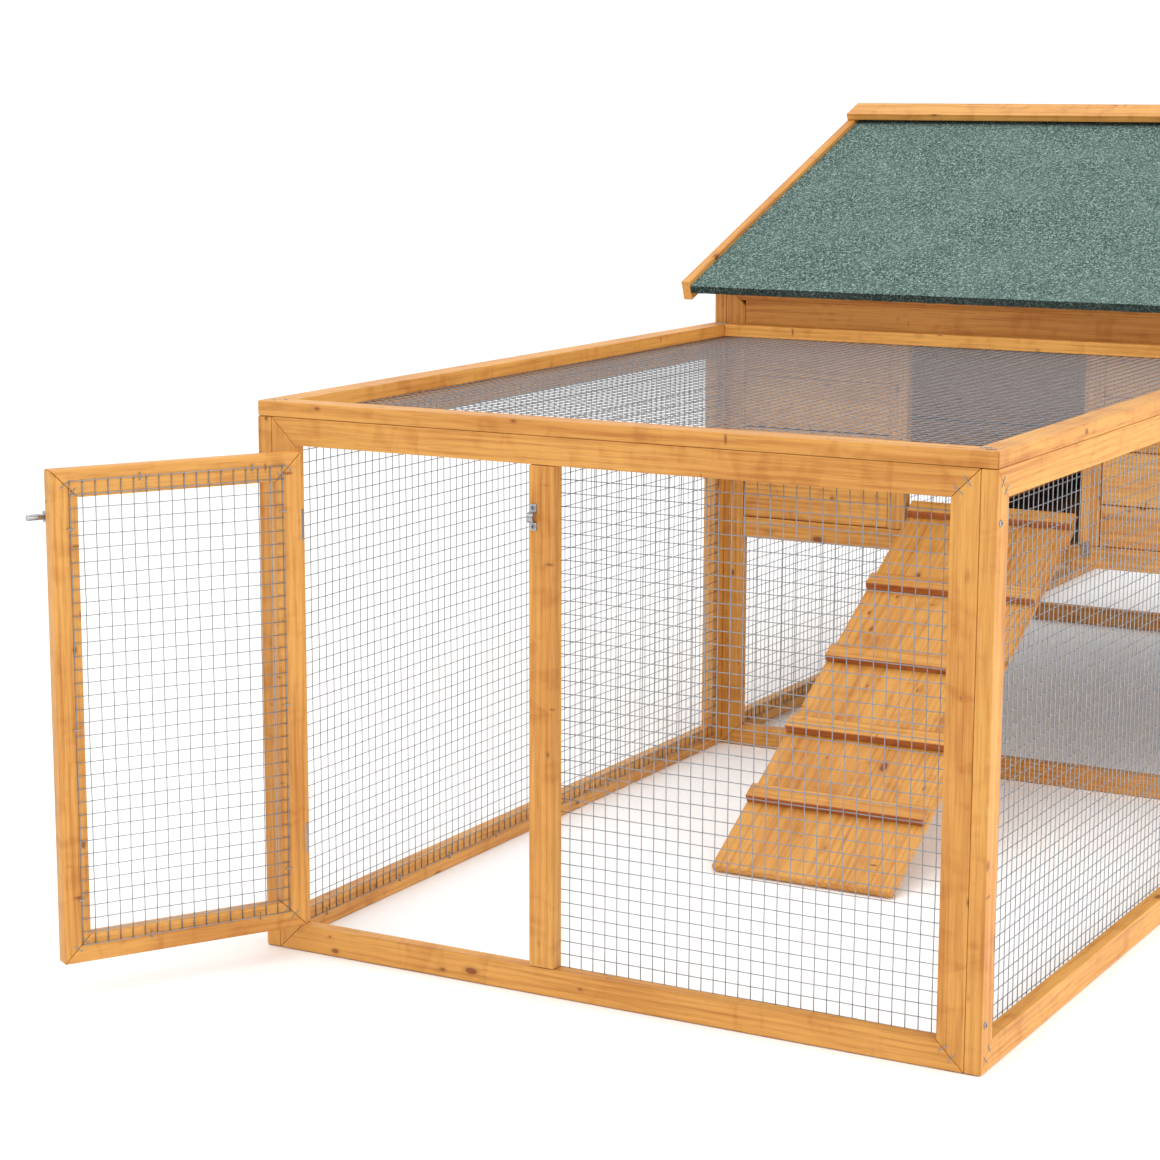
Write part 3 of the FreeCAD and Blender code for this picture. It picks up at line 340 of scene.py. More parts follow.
# ------------------------------------------------------------------ materials
class Nodes:
    """A material's node tree, built by short calls."""

    def __init__(self, name):
        self.material = bpy.data.materials.new(name)
        self.material.use_nodes = True
        self.tree = self.material.node_tree
        self.shader = self.tree.nodes["Principled BSDF"]

    def add(self, kind, inputs=None, **settings):
        """A node with settings and plain or linked inputs."""
        node = self.tree.nodes.new(kind)
        for name, value in settings.items():
            setattr(node, name, value)
        for name, value in (inputs or {}).items():
            self.link(value, node.inputs[name])
        return node

    def link(self, value, socket):
        """Connect an output, or set a plain value."""
        if isinstance(value, bpy.types.NodeSocket):
            self.tree.links.new(value, socket)
        else:
            socket.default_value = value

    def stretch(self, vector, scale, shift=(0, 0, 0)):
        """Scale and shift a coordinate."""
        return self.add("ShaderNodeMapping", {"Vector": vector, "Scale": scale, "Location": shift}).outputs[0]

    def ramp(self, value, stops):
        """A colour ramp from (position, colour) stops."""
        node = self.add("ShaderNodeValToRGB", {"Fac": value})
        elements = node.color_ramp.elements
        for index, (position, tint) in enumerate(stops):
            element = elements[index] if index < 2 else elements.new(position)
            element.position = position
            element.color = (*tint, 1)
        return node.outputs["Color"]

    def mix(self, factor, first, second, blend="MIX"):
        """Mix two colours."""
        node = self.add("ShaderNodeMix", data_type="RGBA", blend_type=blend)
        for value, name in ((factor, "Factor_Float"), (first, "A_Color"), (second, "B_Color")):
            socket = next(item for item in node.inputs if item.identifier == name)
            self.link(value if not isinstance(value, tuple) else (*value, 1), socket)
        return next(item for item in node.outputs if item.identifier == "Result_Color")

    def sum(self, operation, first, second, clamp=False):
        """One step of arithmetic."""
        node = self.add("ShaderNodeMath", operation=operation, use_clamp=clamp)
        self.link(first, node.inputs[0])
        self.link(second, node.inputs[1])
        return node.outputs[0]

    def range(self, value, low, high, to_low=0.0, to_high=1.0):
        """Map one range onto another, clamped and eased."""
        return self.add("ShaderNodeMapRange", {"Value": value, "From Min": low, "From Max": high,
                                               "To Min": to_low, "To Max": to_high},
                        interpolation_type="SMOOTHSTEP").outputs[0]

    def spots(self, vector, scale, rarity, reach):
        """The heart and the halo of scattered spots; only cells above a rarity hold one."""
        cells = self.add("ShaderNodeTexVoronoi", {"Vector": self.stretch(vector, scale), "Scale": 1.0})
        chosen = self.add("ShaderNodeSeparateColor", {"Color": cells.outputs["Color"]}).outputs[0]
        held = self.range(chosen, rarity, rarity + 0.02)
        radius = self.range(chosen, rarity, 1.0, reach * 0.3, reach)
        away = self.sum("SUBTRACT", cells.outputs["Distance"], radius)
        heart = self.sum("MULTIPLY", held, self.range(away, -0.02, 0.012, 1.0, 0.0))
        halo = self.sum("MULTIPLY", held, self.range(away, -0.03, 0.12, 1.0, 0.0))
        return heart, halo

    def bump(self, height, distance, strength=1.0):
        """Drive the shader's normal from a height."""
        node = self.add("ShaderNodeBump", {"Height": height, "Distance": distance, "Strength": strength})
        self.link(node.outputs[0], self.shader.inputs["Normal"])


def pine(name, light, deep, knot):
    """Stained pine: growth rings, fibres, tone from board to board, and small knots."""
    made = Nodes(name)
    spot = made.add("ShaderNodeAttribute", attribute_name="grain").outputs["Vector"]
    bend = made.add("ShaderNodeTexNoise", {"Vector": made.stretch(spot, (4.5, 22, 22)), "Scale": 1.0,
                                           "Detail": 2.0}).outputs["Fac"]
    heart, halo = made.spots(spot, (15, 30, 30), 0.60, 0.12)
    small, small_halo = made.spots(spot, (32, 56, 56), 0.74, 0.13)
    dash, dash_halo = made.spots(spot, (95, 30, 30), 0.88, 0.13)
    swirl = made.sum("ADD", made.sum("MULTIPLY", bend, 7.0), made.sum("MULTIPLY", halo, 1.6))
    rings = made.add("ShaderNodeTexWave", {"Vector": made.stretch(spot, (0.30, 1, 1)), "Scale": 52.0,
                                           "Distortion": 3.0, "Detail": 2.0, "Detail Scale": 0.8,
                                           "Phase Offset": swirl},
                     wave_type="RINGS", rings_direction="X", wave_profile="SIN").outputs["Fac"]
    fibre = made.add("ShaderNodeTexNoise", {"Vector": made.stretch(spot, (22, 1300, 1300)), "Scale": 1.0,
                                            "Detail": 3.0, "Roughness": 0.6}).outputs["Fac"]
    streak = made.add("ShaderNodeTexNoise", {"Vector": made.stretch(spot, (6, 230, 230)), "Scale": 1.0,
                                             "Detail": 3.0, "Roughness": 0.6}).outputs["Fac"]
    tone = made.add("ShaderNodeTexNoise", {"Vector": made.stretch(spot, (4, 16, 16)), "Scale": 1.0,
                                           "Detail": 2.0}).outputs["Fac"]
    flame = made.add("ShaderNodeTexNoise", {"Vector": made.stretch(spot, (46, 26, 26)), "Scale": 1.0,
                                            "Detail": 2.0, "Distortion": 0.6}).outputs["Fac"]
    late = made.sum("MULTIPLY", made.sum("POWER", rings, 2.2), 0.34)
    late = made.sum("ADD", late, made.range(streak, 0.42, 0.68, 0.0, 0.40))
    late = made.sum("ADD", late, made.range(tone, 0.30, 0.72, -0.26, 0.32))
    late = made.sum("ADD", late, made.range(flame, 0.50, 0.74, 0.0, 0.36), clamp=True)
    dark = tuple(0.55 * c for c in deep)
    body = made.mix(late, light, deep)
    body = made.mix(made.range(fibre, 0.50, 0.72, 0.0, 0.42), body, dark)
    for centre, ring, depth in ((heart, halo, 0.9), (small, small_halo, 0.75), (dash, dash_halo, 0.6)):
        body = made.mix(made.sum("MULTIPLY", ring, 0.45), body, dark)
        body = made.mix(made.sum("MULTIPLY", centre, depth), body, knot)
    made.link(body, made.shader.inputs["Base Color"])
    made.link(made.range(fibre, 0.3, 0.8, 0.40, 0.60), made.shader.inputs["Roughness"])
    made.shader.inputs["Specular IOR Level"].default_value = 0.38
    height = made.sum("SUBTRACT", made.sum("MULTIPLY", rings, 0.35), fibre)
    made.bump(height, 0.00018, 0.7)
    return made.material


def metal(name, tint, roughness, spangle_scale, metallic=0.9):
    """Zinc on steel, with patches of slightly different shine."""
    made = Nodes(name)
    spot = made.add("ShaderNodeTexCoord").outputs["Object"]
    flake = made.add("ShaderNodeTexVoronoi", {"Vector": spot, "Scale": spangle_scale}).outputs["Color"]
    patch = made.add("ShaderNodeSeparateColor", {"Color": flake}).outputs[0]
    cloud = made.add("ShaderNodeTexNoise", {"Vector": spot, "Scale": spangle_scale * 0.6,
                                            "Detail": 4.0}).outputs["Fac"]
    shade = made.mix(made.sum("MULTIPLY", patch, 0.35), tint, tuple(0.78 * c for c in tint))
    shade = made.mix(made.range(cloud, 0.5, 0.75, 0.0, 0.35), shade, tuple(0.62 * c for c in tint))
    made.link(shade, made.shader.inputs["Base Color"])
    made.link(made.range(patch, 0.0, 1.0, roughness - 0.08, roughness + 0.1), made.shader.inputs["Roughness"])
    made.shader.inputs["Metallic"].default_value = metallic
    made.bump(cloud, 0.00006, 0.5)
    return made.material


def mineral_felt(name, strength):
    """Bitumen felt covered in small green stone grains with paler flecks."""
    made = Nodes(name)
    settings = roofing()
    spot = made.add("ShaderNodeTexCoord").outputs["Object"]
    grains = made.add("ShaderNodeTexVoronoi", {"Vector": spot, "Scale": 640.0})
    pick = made.add("ShaderNodeSeparateColor", {"Color": grains.outputs["Color"]}).outputs[1]
    cloud = made.add("ShaderNodeTexNoise", {"Vector": spot, "Scale": 9.0, "Detail": 4.0}).outputs["Fac"]
    cluster = made.add("ShaderNodeTexNoise", {"Vector": spot, "Scale": 260.0, "Detail": 3.0}).outputs["Fac"]
    # A strength below one darkens the whole felt; the faces that don't face up use this as painted shade.
    green = tuple(strength * c for c in settings.green)
    fleck = tuple(strength * c for c in settings.fleck)
    middle = tuple(0.62 * a + 0.38 * b for a, b in zip(green, fleck))
    shadow = tuple(0.40 * c for c in green)
    tint = made.ramp(pick, [(0.0, shadow), (1.0, fleck), (0.40, green), (0.72, middle)])
    tint = made.mix(made.range(cluster, 0.42, 0.62, 0.0, 0.5), tint, tuple(0.5 * c for c in green))
    tint = made.mix(made.range(cloud, 0.35, 0.7, 0.0, 0.22), tint, middle)
    made.link(tint, made.shader.inputs["Base Color"])
    made.shader.inputs["Roughness"].default_value = 0.93
    made.shader.inputs["Specular IOR Level"].default_value = 0.2
    made.bump(made.sum("ADD", grains.outputs["Distance"], cluster), 0.0009, 0.9)
    return made.material


MADE = {}


def material(kind):
    """Each finish is made once."""
    if kind not in MADE:
        stain = timber()
        light, deep, knot, zinc = (tuple(tint) for tint in (stain.light, stain.deep, stain.knot, wire().zinc))
        # Redder, darker copy of the stain. On the knobs and the turn button it is plain red stain; on the
        # ramp cleats' faces it is part red stain, part painted shade.
        red_shade_light = (light[0] * 0.62, light[1] * 0.42, light[2] * 0.5)
        red_shade_deep = (deep[0] * 0.62, deep[1] * 0.40, deep[2] * 0.5)
        makers = {
            "pine": lambda: pine("honey stained pine", light, deep, knot),
            "cleat": lambda: pine("red stained pine with painted shade on cleat faces", red_shade_light, red_shade_deep, knot),
            "staple": lambda: metal("staple wire", tuple(1.15 * c for c in zinc), 0.35, 180.0, 0.85),
            "wire": lambda: metal("galvanised wire", zinc, 0.42, 180.0, 0.75),
            "bright": lambda: metal("bright zinc", tuple(1.3 * c for c in zinc), 0.16, 240.0, 1.0),
            "zinc": lambda: metal("zinc plate", tuple(1.12 * c for c in zinc), 0.32, 240.0),
            "sheet": lambda: metal("galvanised sheet", tuple(0.92 * c for c in zinc), 0.38, 60.0),
            # Near-black metal for the screws' cross slots: painted shade.
            "recess": lambda: metal("painted shade in screw slots", (0.03, 0.03, 0.03), 0.6, 300.0, 0.3),
            "felt": lambda: mineral_felt("green mineral felt", 1.0),
            # The same felt at a third of its brightness, for the faces that don't face up: painted shade.
            "felt shade": lambda: mineral_felt("green mineral felt, painted shade on wrapped edge", 0.34),
        }
        MADE[kind] = makers[kind]()
    return MADE[kind]


def dress(node, kind):
    """Give a carried-over node its finish."""
    held = frame["nodes"][node].data.materials
    held.clear()
    held.append(material(kind))


# ------------------------------------------------------------------ runs
class COOP_OT_front_panel(bpy.types.Operator):
    """Make the front panel's mitred battens and its mullion"""
    bl_idname = "coop.front_panel"
    bl_label = "Front panel"

    def execute(self, context):
        low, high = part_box("front_panel_frame")
        bm = new_mesh()
        cross_frame(bm, low, high, 3.1)
        width = timber().batten
        inside = width + timber().seam
        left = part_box("bolt_keeper")[0].x - 0.001
        block(bm, (left, low.y, inside), (left + width, high.y, high.z - inside), "Z", seed=9.4)
        finish_timber(bm, "front_battens", "front_panel_frame")
        return {"FINISHED"}


class COOP_OT_run_sides(bpy.types.Operator):
    """Make the battens of the four long side panels"""
    bl_idname = "coop.run_sides"
    bl_label = "Run side panels"

    def execute(self, context):
        for index, node in enumerate(("front_run_left_panel_frame", "front_run_right_panel_frame",
                                      "rear_run_left_panel_frame", "rear_run_right_panel_frame")):
            low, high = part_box(node)
            bm = new_mesh()
            mitred(bm, low, Y, Z, high.y - low.y, high.z - low.z, high.x - low.x, seed=11.3 + 5.9 * index)
            finish_timber(bm, node.replace("frame", "battens"), node)
        return {"FINISHED"}


class COOP_OT_run_roofs(bpy.types.Operator):
    """Make the battens of the two flat wire roofs"""
    bl_idname = "coop.run_roofs"
    bl_label = "Run roofs"

    def execute(self, context):
        for index, node in enumerate(("front_run_lid_frame", "rear_run_lid_frame")):
            low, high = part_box(node)
            bm = new_mesh()
            mitred(bm, low, X, Y, high.x - low.x, high.y - low.y, high.z - low.z, seed=37.7 + 6.1 * index)
            finish_timber(bm, node.replace("frame", "battens"), node)
        return {"FINISHED"}


class COOP_OT_rear_end(bpy.types.Operator):
    """Make the battens of the panel that closes the rear run"""
    bl_idname = "coop.rear_end"
    bl_label = "Rear end panel"

    def execute(self, context):
        low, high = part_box("rear_end_panel_frame")
        bm = new_mesh()
        cross_frame(bm, low, high, 51.9)
        finish_timber(bm, "rear_end_battens", "rear_end_panel_frame")
        return {"FINISHED"}


def door_level(level):
    """A height as measured from the run door's joint."""
    return level - JOINTS["run_door"]["pos_m"][2]


def door_lines():
    """The door's inner lower corner at the hinge side, and its height, as made at its joint."""
    low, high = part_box("door_frame")
    settings = door()
    return Vector((settings.inset, settings.face + settings.thick, door_level(low.z))), high.z - low.z


class COOP_OT_run_door(bpy.types.Operator):
    """Make the run door's battens, standing open on its hinges"""
    bl_idname = "coop.run_door"
    bl_label = "Run door"

    def execute(self, context):
        corner, high = door_lines()
        bm = new_mesh()
        mitred(bm, corner, X, Z, door().wide, high, door().thick, seed=64.5)
        finish_timber(bm, "door_battens", "door_frame", "door", joint_place("run_door", door().opened, "Z"))
        return {"FINISHED"}


# ------------------------------------------------------------------ wire
def strand(bm, start, way, across, count, spacing, run):
    """A row of parallel wires, each cut into short steps so that it can wander."""
    settings = wire()
    part = new_mesh()
    rod(part, start, start + way * run, settings.gauge / 2, settings.sides)
    lengthwise = [edge for edge in part.edges if edge.calc_length() > run * 0.9]
    bmesh.ops.subdivide_edges(part, edges=lengthwise, cuts=max(1, int(run / settings.step)))
    if count > 1:
        bmesh.ops.spin(part, geom=part.verts[:] + part.edges[:] + part.faces[:], angle=0, steps=count - 1,
                       use_duplicate=True, axis=across, cent=start, dvec=across * spacing)
    join(bm, part)


# Each panel's piece, its node, its two directions, the way its wire lies off the battens, and where one
# upright wire and one level wire lie along those directions.
WIRE_PANELS = (
    ("front_wire", "front_panel_mesh", X, Z, Y, (-0.0406, 0.0388)),
    ("front_left_wire", "front_run_left_panel_mesh", Y, Z, X, (-0.9505, 0.0409)),
    ("front_right_wire", "front_run_right_panel_mesh", Y, Z, -X, (-0.9056, 0.0406)),
    ("rear_left_wire", "rear_run_left_panel_mesh", Y, Z, X, (1.101, 0.0402)),
    ("rear_right_wire", "rear_run_right_panel_mesh", Y, Z, -X, (1.098, 0.0405)),
    ("rear_end_wire", "rear_end_panel_mesh", X, Z, -Y, (-0.021, 0.0391)),
    ("front_roof_wire", "front_run_lid_mesh", X, Y, -Z, (-0.012, -0.95)),
    ("rear_roof_wire", "rear_run_lid_mesh", X, Y, -Z, (-0.009, 1.15)),
    ("house_left_wire", "house_left_lower_mesh", Y, Z, X, (0.071, 0.0403)),
    ("house_right_wire", "house_right_lower_mesh", Y, Z, -X, (0.066, 0.0398)),
)
DOOR_WIRES = (0.0212, 0.0127)


def wire_rows(low, high, across, up, inward, first):
    """Where a panel's wires start on its battens, and how many there are each way."""
    pitch = wire().pitch
    size = high - low
    origin = Vector(low)
    for axis in range(3):
        if inward[axis]:
            origin[axis] = low[axis] if inward[axis] > 0 else high[axis]
    rows = []
    for step, known in ((across, first[0]), (up, first[1])):
        span = abs(size.dot(step))
        offset = (known - origin.dot(step)) % pitch
        if offset > 0.3 * pitch:
            offset -= pitch
        rows.append((step, offset, int(math.ceil((span - offset) / pitch - 0.3)) + 1))
    return origin, rows


# Three far-apart readings of the same noise give the three parts of a wire's wander.
DRIFT_SHIFTS = (Vector((9.3, 0.1, 0.7)), Vector((0.4, 8.1, 3.7)), Vector((5.4, 2.1, 7.3)))


def drift_at(point):
    """The way a wire wanders at a point, the same each time."""
    return Vector([noise.noise(point * 17.0 + shift) for shift in DRIFT_SHIFTS])


def wire_panel(name, node, body, across, up, inward, first, place=None, sheet=None):
    """A welded wire panel: uprights on the battens, level wires behind them."""
    settings = wire()
    pitch = settings.pitch
    low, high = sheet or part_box(node)
    origin, ends = wire_rows(low, high, across, up, inward, first)
    bm = new_mesh()
    for first_row, second_row, layer in ((ends[0], ends[1], 0.5), (ends[1], ends[0], 1.5)):
        step, offset, count = first_row
        way, low_end, number = second_row
        over = settings.gauge
        start = origin + step * offset + way * (low_end - over) + inward * settings.gauge * layer
        strand(bm, start, way, step, count, pitch, (number - 1) * pitch + 2 * over)
    for vert in bm.verts:
        drift = drift_at(vert.co)
        vert.co += (drift - inward * drift.dot(inward) * 0.9) * settings.wander
    finish_piece(bm, name, body, material("wire"), (node,), place, smooth=True)


def door_sheet():
    """The two corners of the door's wire, as made at its joint."""
    low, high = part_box("door_mesh")
    corner = door_lines()[0]
    aside = timber().batten - door().lap
    return (Vector((corner.x + aside, corner.y, door_level(low.z))),
            Vector((corner.x + door().wide - aside, corner.y + 0.0002, door_level(high.z))))


def door_wires():
    """Where one upright and one level wire of the door lie, as made at its joint."""
    return DOOR_WIRES[0], door_level(DOOR_WIRES[1])


class COOP_OT_wire(bpy.types.Operator):
    """Weave the welded wire of every panel"""
    bl_idname = "coop.wire"
    bl_label = "Welded wire"

    def execute(self, context):
        for name, node, across, up, inward, first in WIRE_PANELS:
            wire_panel(name, node, "coop", across, up, inward, first)
        place = joint_place("run_door", door().opened, "Z")
        wire_panel("door_wire", "door_mesh", "door", X, Z, Y, door_wires(), place, door_sheet())
        return {"FINISHED"}


# ------------------------------------------------------------------ house
def plank_levels(top):
    """Where each wall plank starts and ends, up to a top."""
    floor = timber().floor_rail + timber().batten
    level = floor
    levels = []
    while level < top - 0.004:
        end = min(level + (timber().plank if levels else timber().first_plank), top)
        levels.append((level + timber().seam, end - timber().seam))
        level = end
    return levels


class COOP_OT_cross_walls(bpy.types.Operator):
    """Make the house's front wall with the hens' doorway, and its back wall"""
    bl_idname = "coop.cross_walls"
    bl_label = "House front and back"

    def execute(self, context):
        settings = timber()
        floor = settings.floor_rail + settings.batten
        for label, seed in (("house_front", 71.2), ("house_back", 83.6)):
            low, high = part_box(label + "_frame")
            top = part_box(label + "_planks")[1].z
            bm = new_mesh()
            cross_frame(bm, low, high, seed, (Vector((0, 0, top)), -Z))
            block(bm, (low.x + settings.batten, low.y, settings.floor_rail),
                  (high.x - settings.batten, high.y, floor), "X", seed=seed + 7)
            planks = new_mesh()
            if label == "house_front":
                self.planks_by_doorway(planks, label, floor, seed)
                self.jambs(bm, low, high, floor, seed)
            else:
                self.full_planks(planks, label, seed)
            finish_timber(bm, label + "_battens", label + "_frame")
            finish_timber(planks, label + "_boards", label + "_planks")
        return {"FINISHED"}

    def full_planks(self, planks, label, seed):
        """Planks that run from side to side."""
        low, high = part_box(label + "_planks")
        for index, (start, end) in enumerate(plank_levels(high.z)):
            block(planks, (low.x, low.y, start), (high.x, high.y, end), "X",
                  rounding=timber().groove, seed=seed + 3.3 * index)

    def planks_by_doorway(self, planks, label, floor, seed):
        """Short planks on both sides of the hens' doorway and one board over it."""
        low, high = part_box(label + "_planks")
        lintel = floor + doorway().high
        for index, (start, end) in enumerate(plank_levels(high.z)):
            if start > lintel:
                break
            for side in (-1, 1):
                left, right = sorted((side * (doorway().half + doorway().jamb), side * high.x))
                block(planks, (left, low.y, start), (right, high.y, min(end, lintel)), "X",
                      rounding=timber().groove, seed=seed + 3.3 * index + side)
        block(planks, (low.x, low.y, lintel), (high.x, high.y, high.z), "X", rounding=0.0004, seed=seed + 19)

    def jambs(self, bm, low, high, floor, seed):
        """The two upright battens beside the hens' doorway."""
        for side in (-1, 1):
            left, right = sorted((side * doorway().half, side * (doorway().half + doorway().jamb)))
            block(bm, (left, low.y, floor + timber().seam), (right, high.y, floor + doorway().high), "Z",
                  seed=seed + 23 + side)


def roof_cuts(drop=0.0):
    """The two planes of the roof's underside, lowered square to the slope by a drop."""
    pitch = roofing().pitch
    low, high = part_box("house_left_frame")
    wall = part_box("house_front_frame")[1].z
    near = Vector((0, -math.sin(pitch), math.cos(pitch)))
    far = Vector((0, math.sin(pitch), math.cos(pitch)))
    return [(Vector((0, low.y, wall)) - near * drop, near), (Vector((0, high.y, wall)) - far * drop, far)]


class COOP_OT_gable_walls(bpy.types.Operator):
    """Make the two gable walls: stiles, rails, rafters and planks"""
    bl_idname = "coop.gable_walls"
    bl_label = "House gables"

    def execute(self, context):
        for label, seed in (("house_left", 95.4), ("house_right", 108.8)):
            low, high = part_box(label + "_frame")
            bm = new_mesh()
            self.stiles_and_rails(bm, low, high, seed)
            self.rafters(bm, low, high, seed)
            planks = new_mesh()
            self.planks(planks, label, high, seed)
            if label == "house_right":
                self.hatch_rails(bm, low, high, seed)
            finish_timber(bm, label + "_battens", label + "_frame")
            finish_timber(planks, label + "_boards", label + "_planks")
        return {"FINISHED"}

    def stiles_and_rails(self, bm, low, high, seed):
        """The ground rail, the floor rail and the two upright battens."""
        width, rail = timber().batten, timber().floor_rail
        block(bm, (low.x, low.y, 0), (high.x, high.y, width), "Y", seed=seed)
        block(bm, (low.x, low.y + width, rail), (high.x, high.y - width, rail + width), "Y", seed=seed + 2)
        for start in (low.y, high.y - width):
            block(bm, (low.x, start, width), (high.x, start + width, high.z), "Z", roof_cuts(),
                  seed=seed + start)

    def rafters(self, bm, low, high, seed):
        """The two sloping battens under the roof, cut upright at the ridge and at the stiles."""
        width, pitch = timber().batten, roofing().pitch
        middle = (low.y + high.y) / 2
        reach = (middle - low.y) / math.cos(pitch)
        for side, (point, outward) in zip((1, -1), roof_cuts()):
            way = Vector((0, side * math.cos(pitch), math.sin(pitch)))
            foot = Vector(((low.x + high.x) / 2, point.y, point.z))
            centre = foot + way * reach / 2 - outward * width / 2
            cuts = [(Vector((0, middle, 0)), Y * side), (Vector((0, point.y + side * width, 0)), -Y * side)]
            board(bm, (reach * 1.2, width, high.x - low.x), basis(way, outward, centre), cuts,
                  seed=seed + 5 + side)

    def planks(self, planks, label, wall_high, seed):
        """The wall planks, their ends cut along the rafters."""
        low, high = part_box(label + "_planks")
        for index, (start, end) in enumerate(plank_levels(wall_high.z - 0.015)):
            if end > low.z:
                block(planks, (low.x, low.y, max(start, low.z)), (high.x, high.y, end), "Y",
                      roof_cuts(timber().batten), rounding=timber().groove, seed=seed + 4.1 * index)

    def hatch_rails(self, bm, low, high, seed):
        """The battens round the two house doors and the two tray slots."""
        width, slat = timber().batten, timber().slat
        floor = timber().floor_rail + width
        middle = (low.y + high.y) / 2
        planks_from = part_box("house_right_planks")[0].z
        header = planks_from - slat
        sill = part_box("front_house_door")[0].z - 0.002
        block(bm, (low.x, low.y + width, header), (high.x, high.y - width, planks_from), "Y", seed=seed + 31)
        block(bm, (low.x, middle - width / 2, floor), (high.x, middle + width / 2, header), "Z",
              seed=seed + 33)
        for start, end in ((low.y + width, middle - width / 2), (middle + width / 2, high.y - width)):
            block(bm, (low.x, start, sill - slat), (high.x, end, sill), "Y", seed=seed + 35 + start)


class COOP_OT_house_inside(bpy.types.Operator):
    """Make the partition between the compartments and the battens that carry the trays"""
    bl_idname = "coop.house_inside"
    bl_label = "House inside"

    def execute(self, context):
        low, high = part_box("partition_planks")
        bm = new_mesh()
        rows = 5
        pitch = (high.z - low.z) / rows
        for row in range(rows):
            start = low.z + row * pitch
            block(bm, (low.x, low.y, start), (high.x, high.y, start + pitch - 0.001), "X",
                  rounding=timber().groove, seed=121.0 + row)
        finish_timber(bm, "partition_boards", "partition_planks")
        self.tray_battens(low.y, high.y)
        return {"FINISHED"}

    def tray_battens(self, near, far):
        """A batten at each wall and on each side of the partition."""
        low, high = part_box("tray_runners")
        width = timber().batten
        bm = new_mesh()
        for row, start in enumerate((low.y, near - width, far, high.y - width)):
            block(bm, (low.x, start, low.z), (high.x, start + width, high.z), "X", seed=131.0 + row)
        finish_timber(bm, "tray_battens", "tray_runners")


class COOP_OT_house_doors(bpy.types.Operator):
    """Make the two planked house doors with their inner ledges"""
    bl_idname = "coop.house_doors"
    bl_label = "House doors"

    def execute(self, context):
        for label, body, seed in (("front_house_door", "front_hatch", 141.5),
                                  ("rear_house_door", "rear_hatch", 152.3)):
            low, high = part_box(label)
            bm = new_mesh()
            middle = (low.z + high.z) / 2
            skin = low.x + 0.010
            seam, groove, half = timber().seam, timber().groove, timber().batten / 2
            for row, (start, end) in enumerate(((low.z, middle - seam), (middle + seam, high.z))):
                block(bm, (skin, low.y, start), (high.x, high.y, end), "Y", rounding=groove, seed=seed + row)
            for share in (0.12, 0.88):
                centre = low.y + (high.y - low.y) * share
                block(bm, (low.x, centre - half, low.z + 0.004), (skin, centre + half, high.z - 0.004), "Z",
                      seed=seed + 5 * share)
            finish_timber(bm, label + "_boards", label, body)
        return {"FINISHED"}


class COOP_OT_trays(bpy.types.Operator):
    """Make the trays' wooden faces and turned knobs, and finish their folded pans"""
    bl_idname = "coop.trays"
    bl_label = "Trays"

    def execute(self, context):
        for body, seed in (("front_tray", 161.0), ("rear_tray", 166.0)):
            low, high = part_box(body + "_face")
            bm = new_mesh()
            block(bm, low, high, "Y", rounding=0.0016, seed=seed)
            finish_timber(bm, body + "_front_board", body + "_face", body)
            self.knob(body, *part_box(body + "_knob"))
            dress(body + "_pan", "sheet")
        return {"FINISHED"}

    def knob(self, body, low, high):
        """A knob turned about its own axis from a stepped outline."""
        span = high.x - low.x
        radius = (high.z - low.z) / 2
        centre = Vector((low.x, (low.y + high.y) / 2, (low.z + high.z) / 2))
        bm = new_mesh()
        outline = ((0.0, 0.60), (0.30, 0.52), (0.45, 0.62), (0.58, 0.90), (0.72, 1.0), (0.86, 0.94),
                   (0.96, 0.66), (1.0, 0.25))
        points = [bm.verts.new(centre + X * span * along + Z * radius * reach) for along, reach in outline]
        points.append(bm.verts.new(centre + X * span))
        points.insert(0, bm.verts.new(centre))
        edges = [bm.edges.new(pair) for pair in zip(points[:-1], points[1:])]
        bmesh.ops.spin(bm, geom=points + edges, cent=centre, axis=X, angle=math.tau, steps=32, use_merge=True)
        bmesh.ops.remove_doubles(bm, verts=bm.verts, dist=1e-6)
        bmesh.ops.recalc_face_normals(bm, faces=bm.faces)
        grain = bm.verts.layers.float_vector["grain"]
        for vert in bm.verts:
            vert[grain] = vert.co - centre + Vector((0.4, 0.02, 0.03))
        finish_piece(bm, body + "_pull", body, material("cleat"), (body + "_knob",), smooth=True)


# ------------------------------------------------------------------ roof
def slope(far):
    """Local slope axes as a matrix: X along the ridge, Y up the slope, Z square off it."""
    settings = roofing()
    low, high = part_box("house_left_frame")
    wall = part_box("house_front_frame")[1].z
    eave = Vector((0, low.y - settings.overhang, wall - settings.overhang * math.tan(settings.pitch)))
    place = basis(X, Vector((0, math.cos(settings.pitch), math.sin(settings.pitch))), eave)
    if far:
        place = Matrix.Translation((0, low.y + high.y, 0)) @ Matrix.Rotation(math.pi, 4, "Z") @ place
    return place


def slope_board(bm, place, low, high, along, seed=0.0):
    """A board given by two corners in slope axes, cut upright on the ridge."""
    low, high = Vector(low), Vector(high)
    size, centre = high - low, (low + high) / 2
    axes = {"X": (X, Y, size), "Y": (Y, Z, Vector((size.y, size.z, size.x)))}[along]
    uphill = place.to_3x3() @ Y
    uphill.z = 0
    box_low, box_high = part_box("house_left_frame")
    ridge = Vector((0, (box_low.y + box_high.y) / 2, 0))
    board(bm, axes[2], place @ basis(axes[0], axes[1], centre), [(ridge, uphill.normalized())], seed=seed)


def slope_length():
    """Distance up the slope from the eave to the ridge, along the boards' underside."""
    low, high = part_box("house_left_frame")
    return ((high.y - low.y) / 2 + roofing().overhang) / math.cos(roofing().pitch)


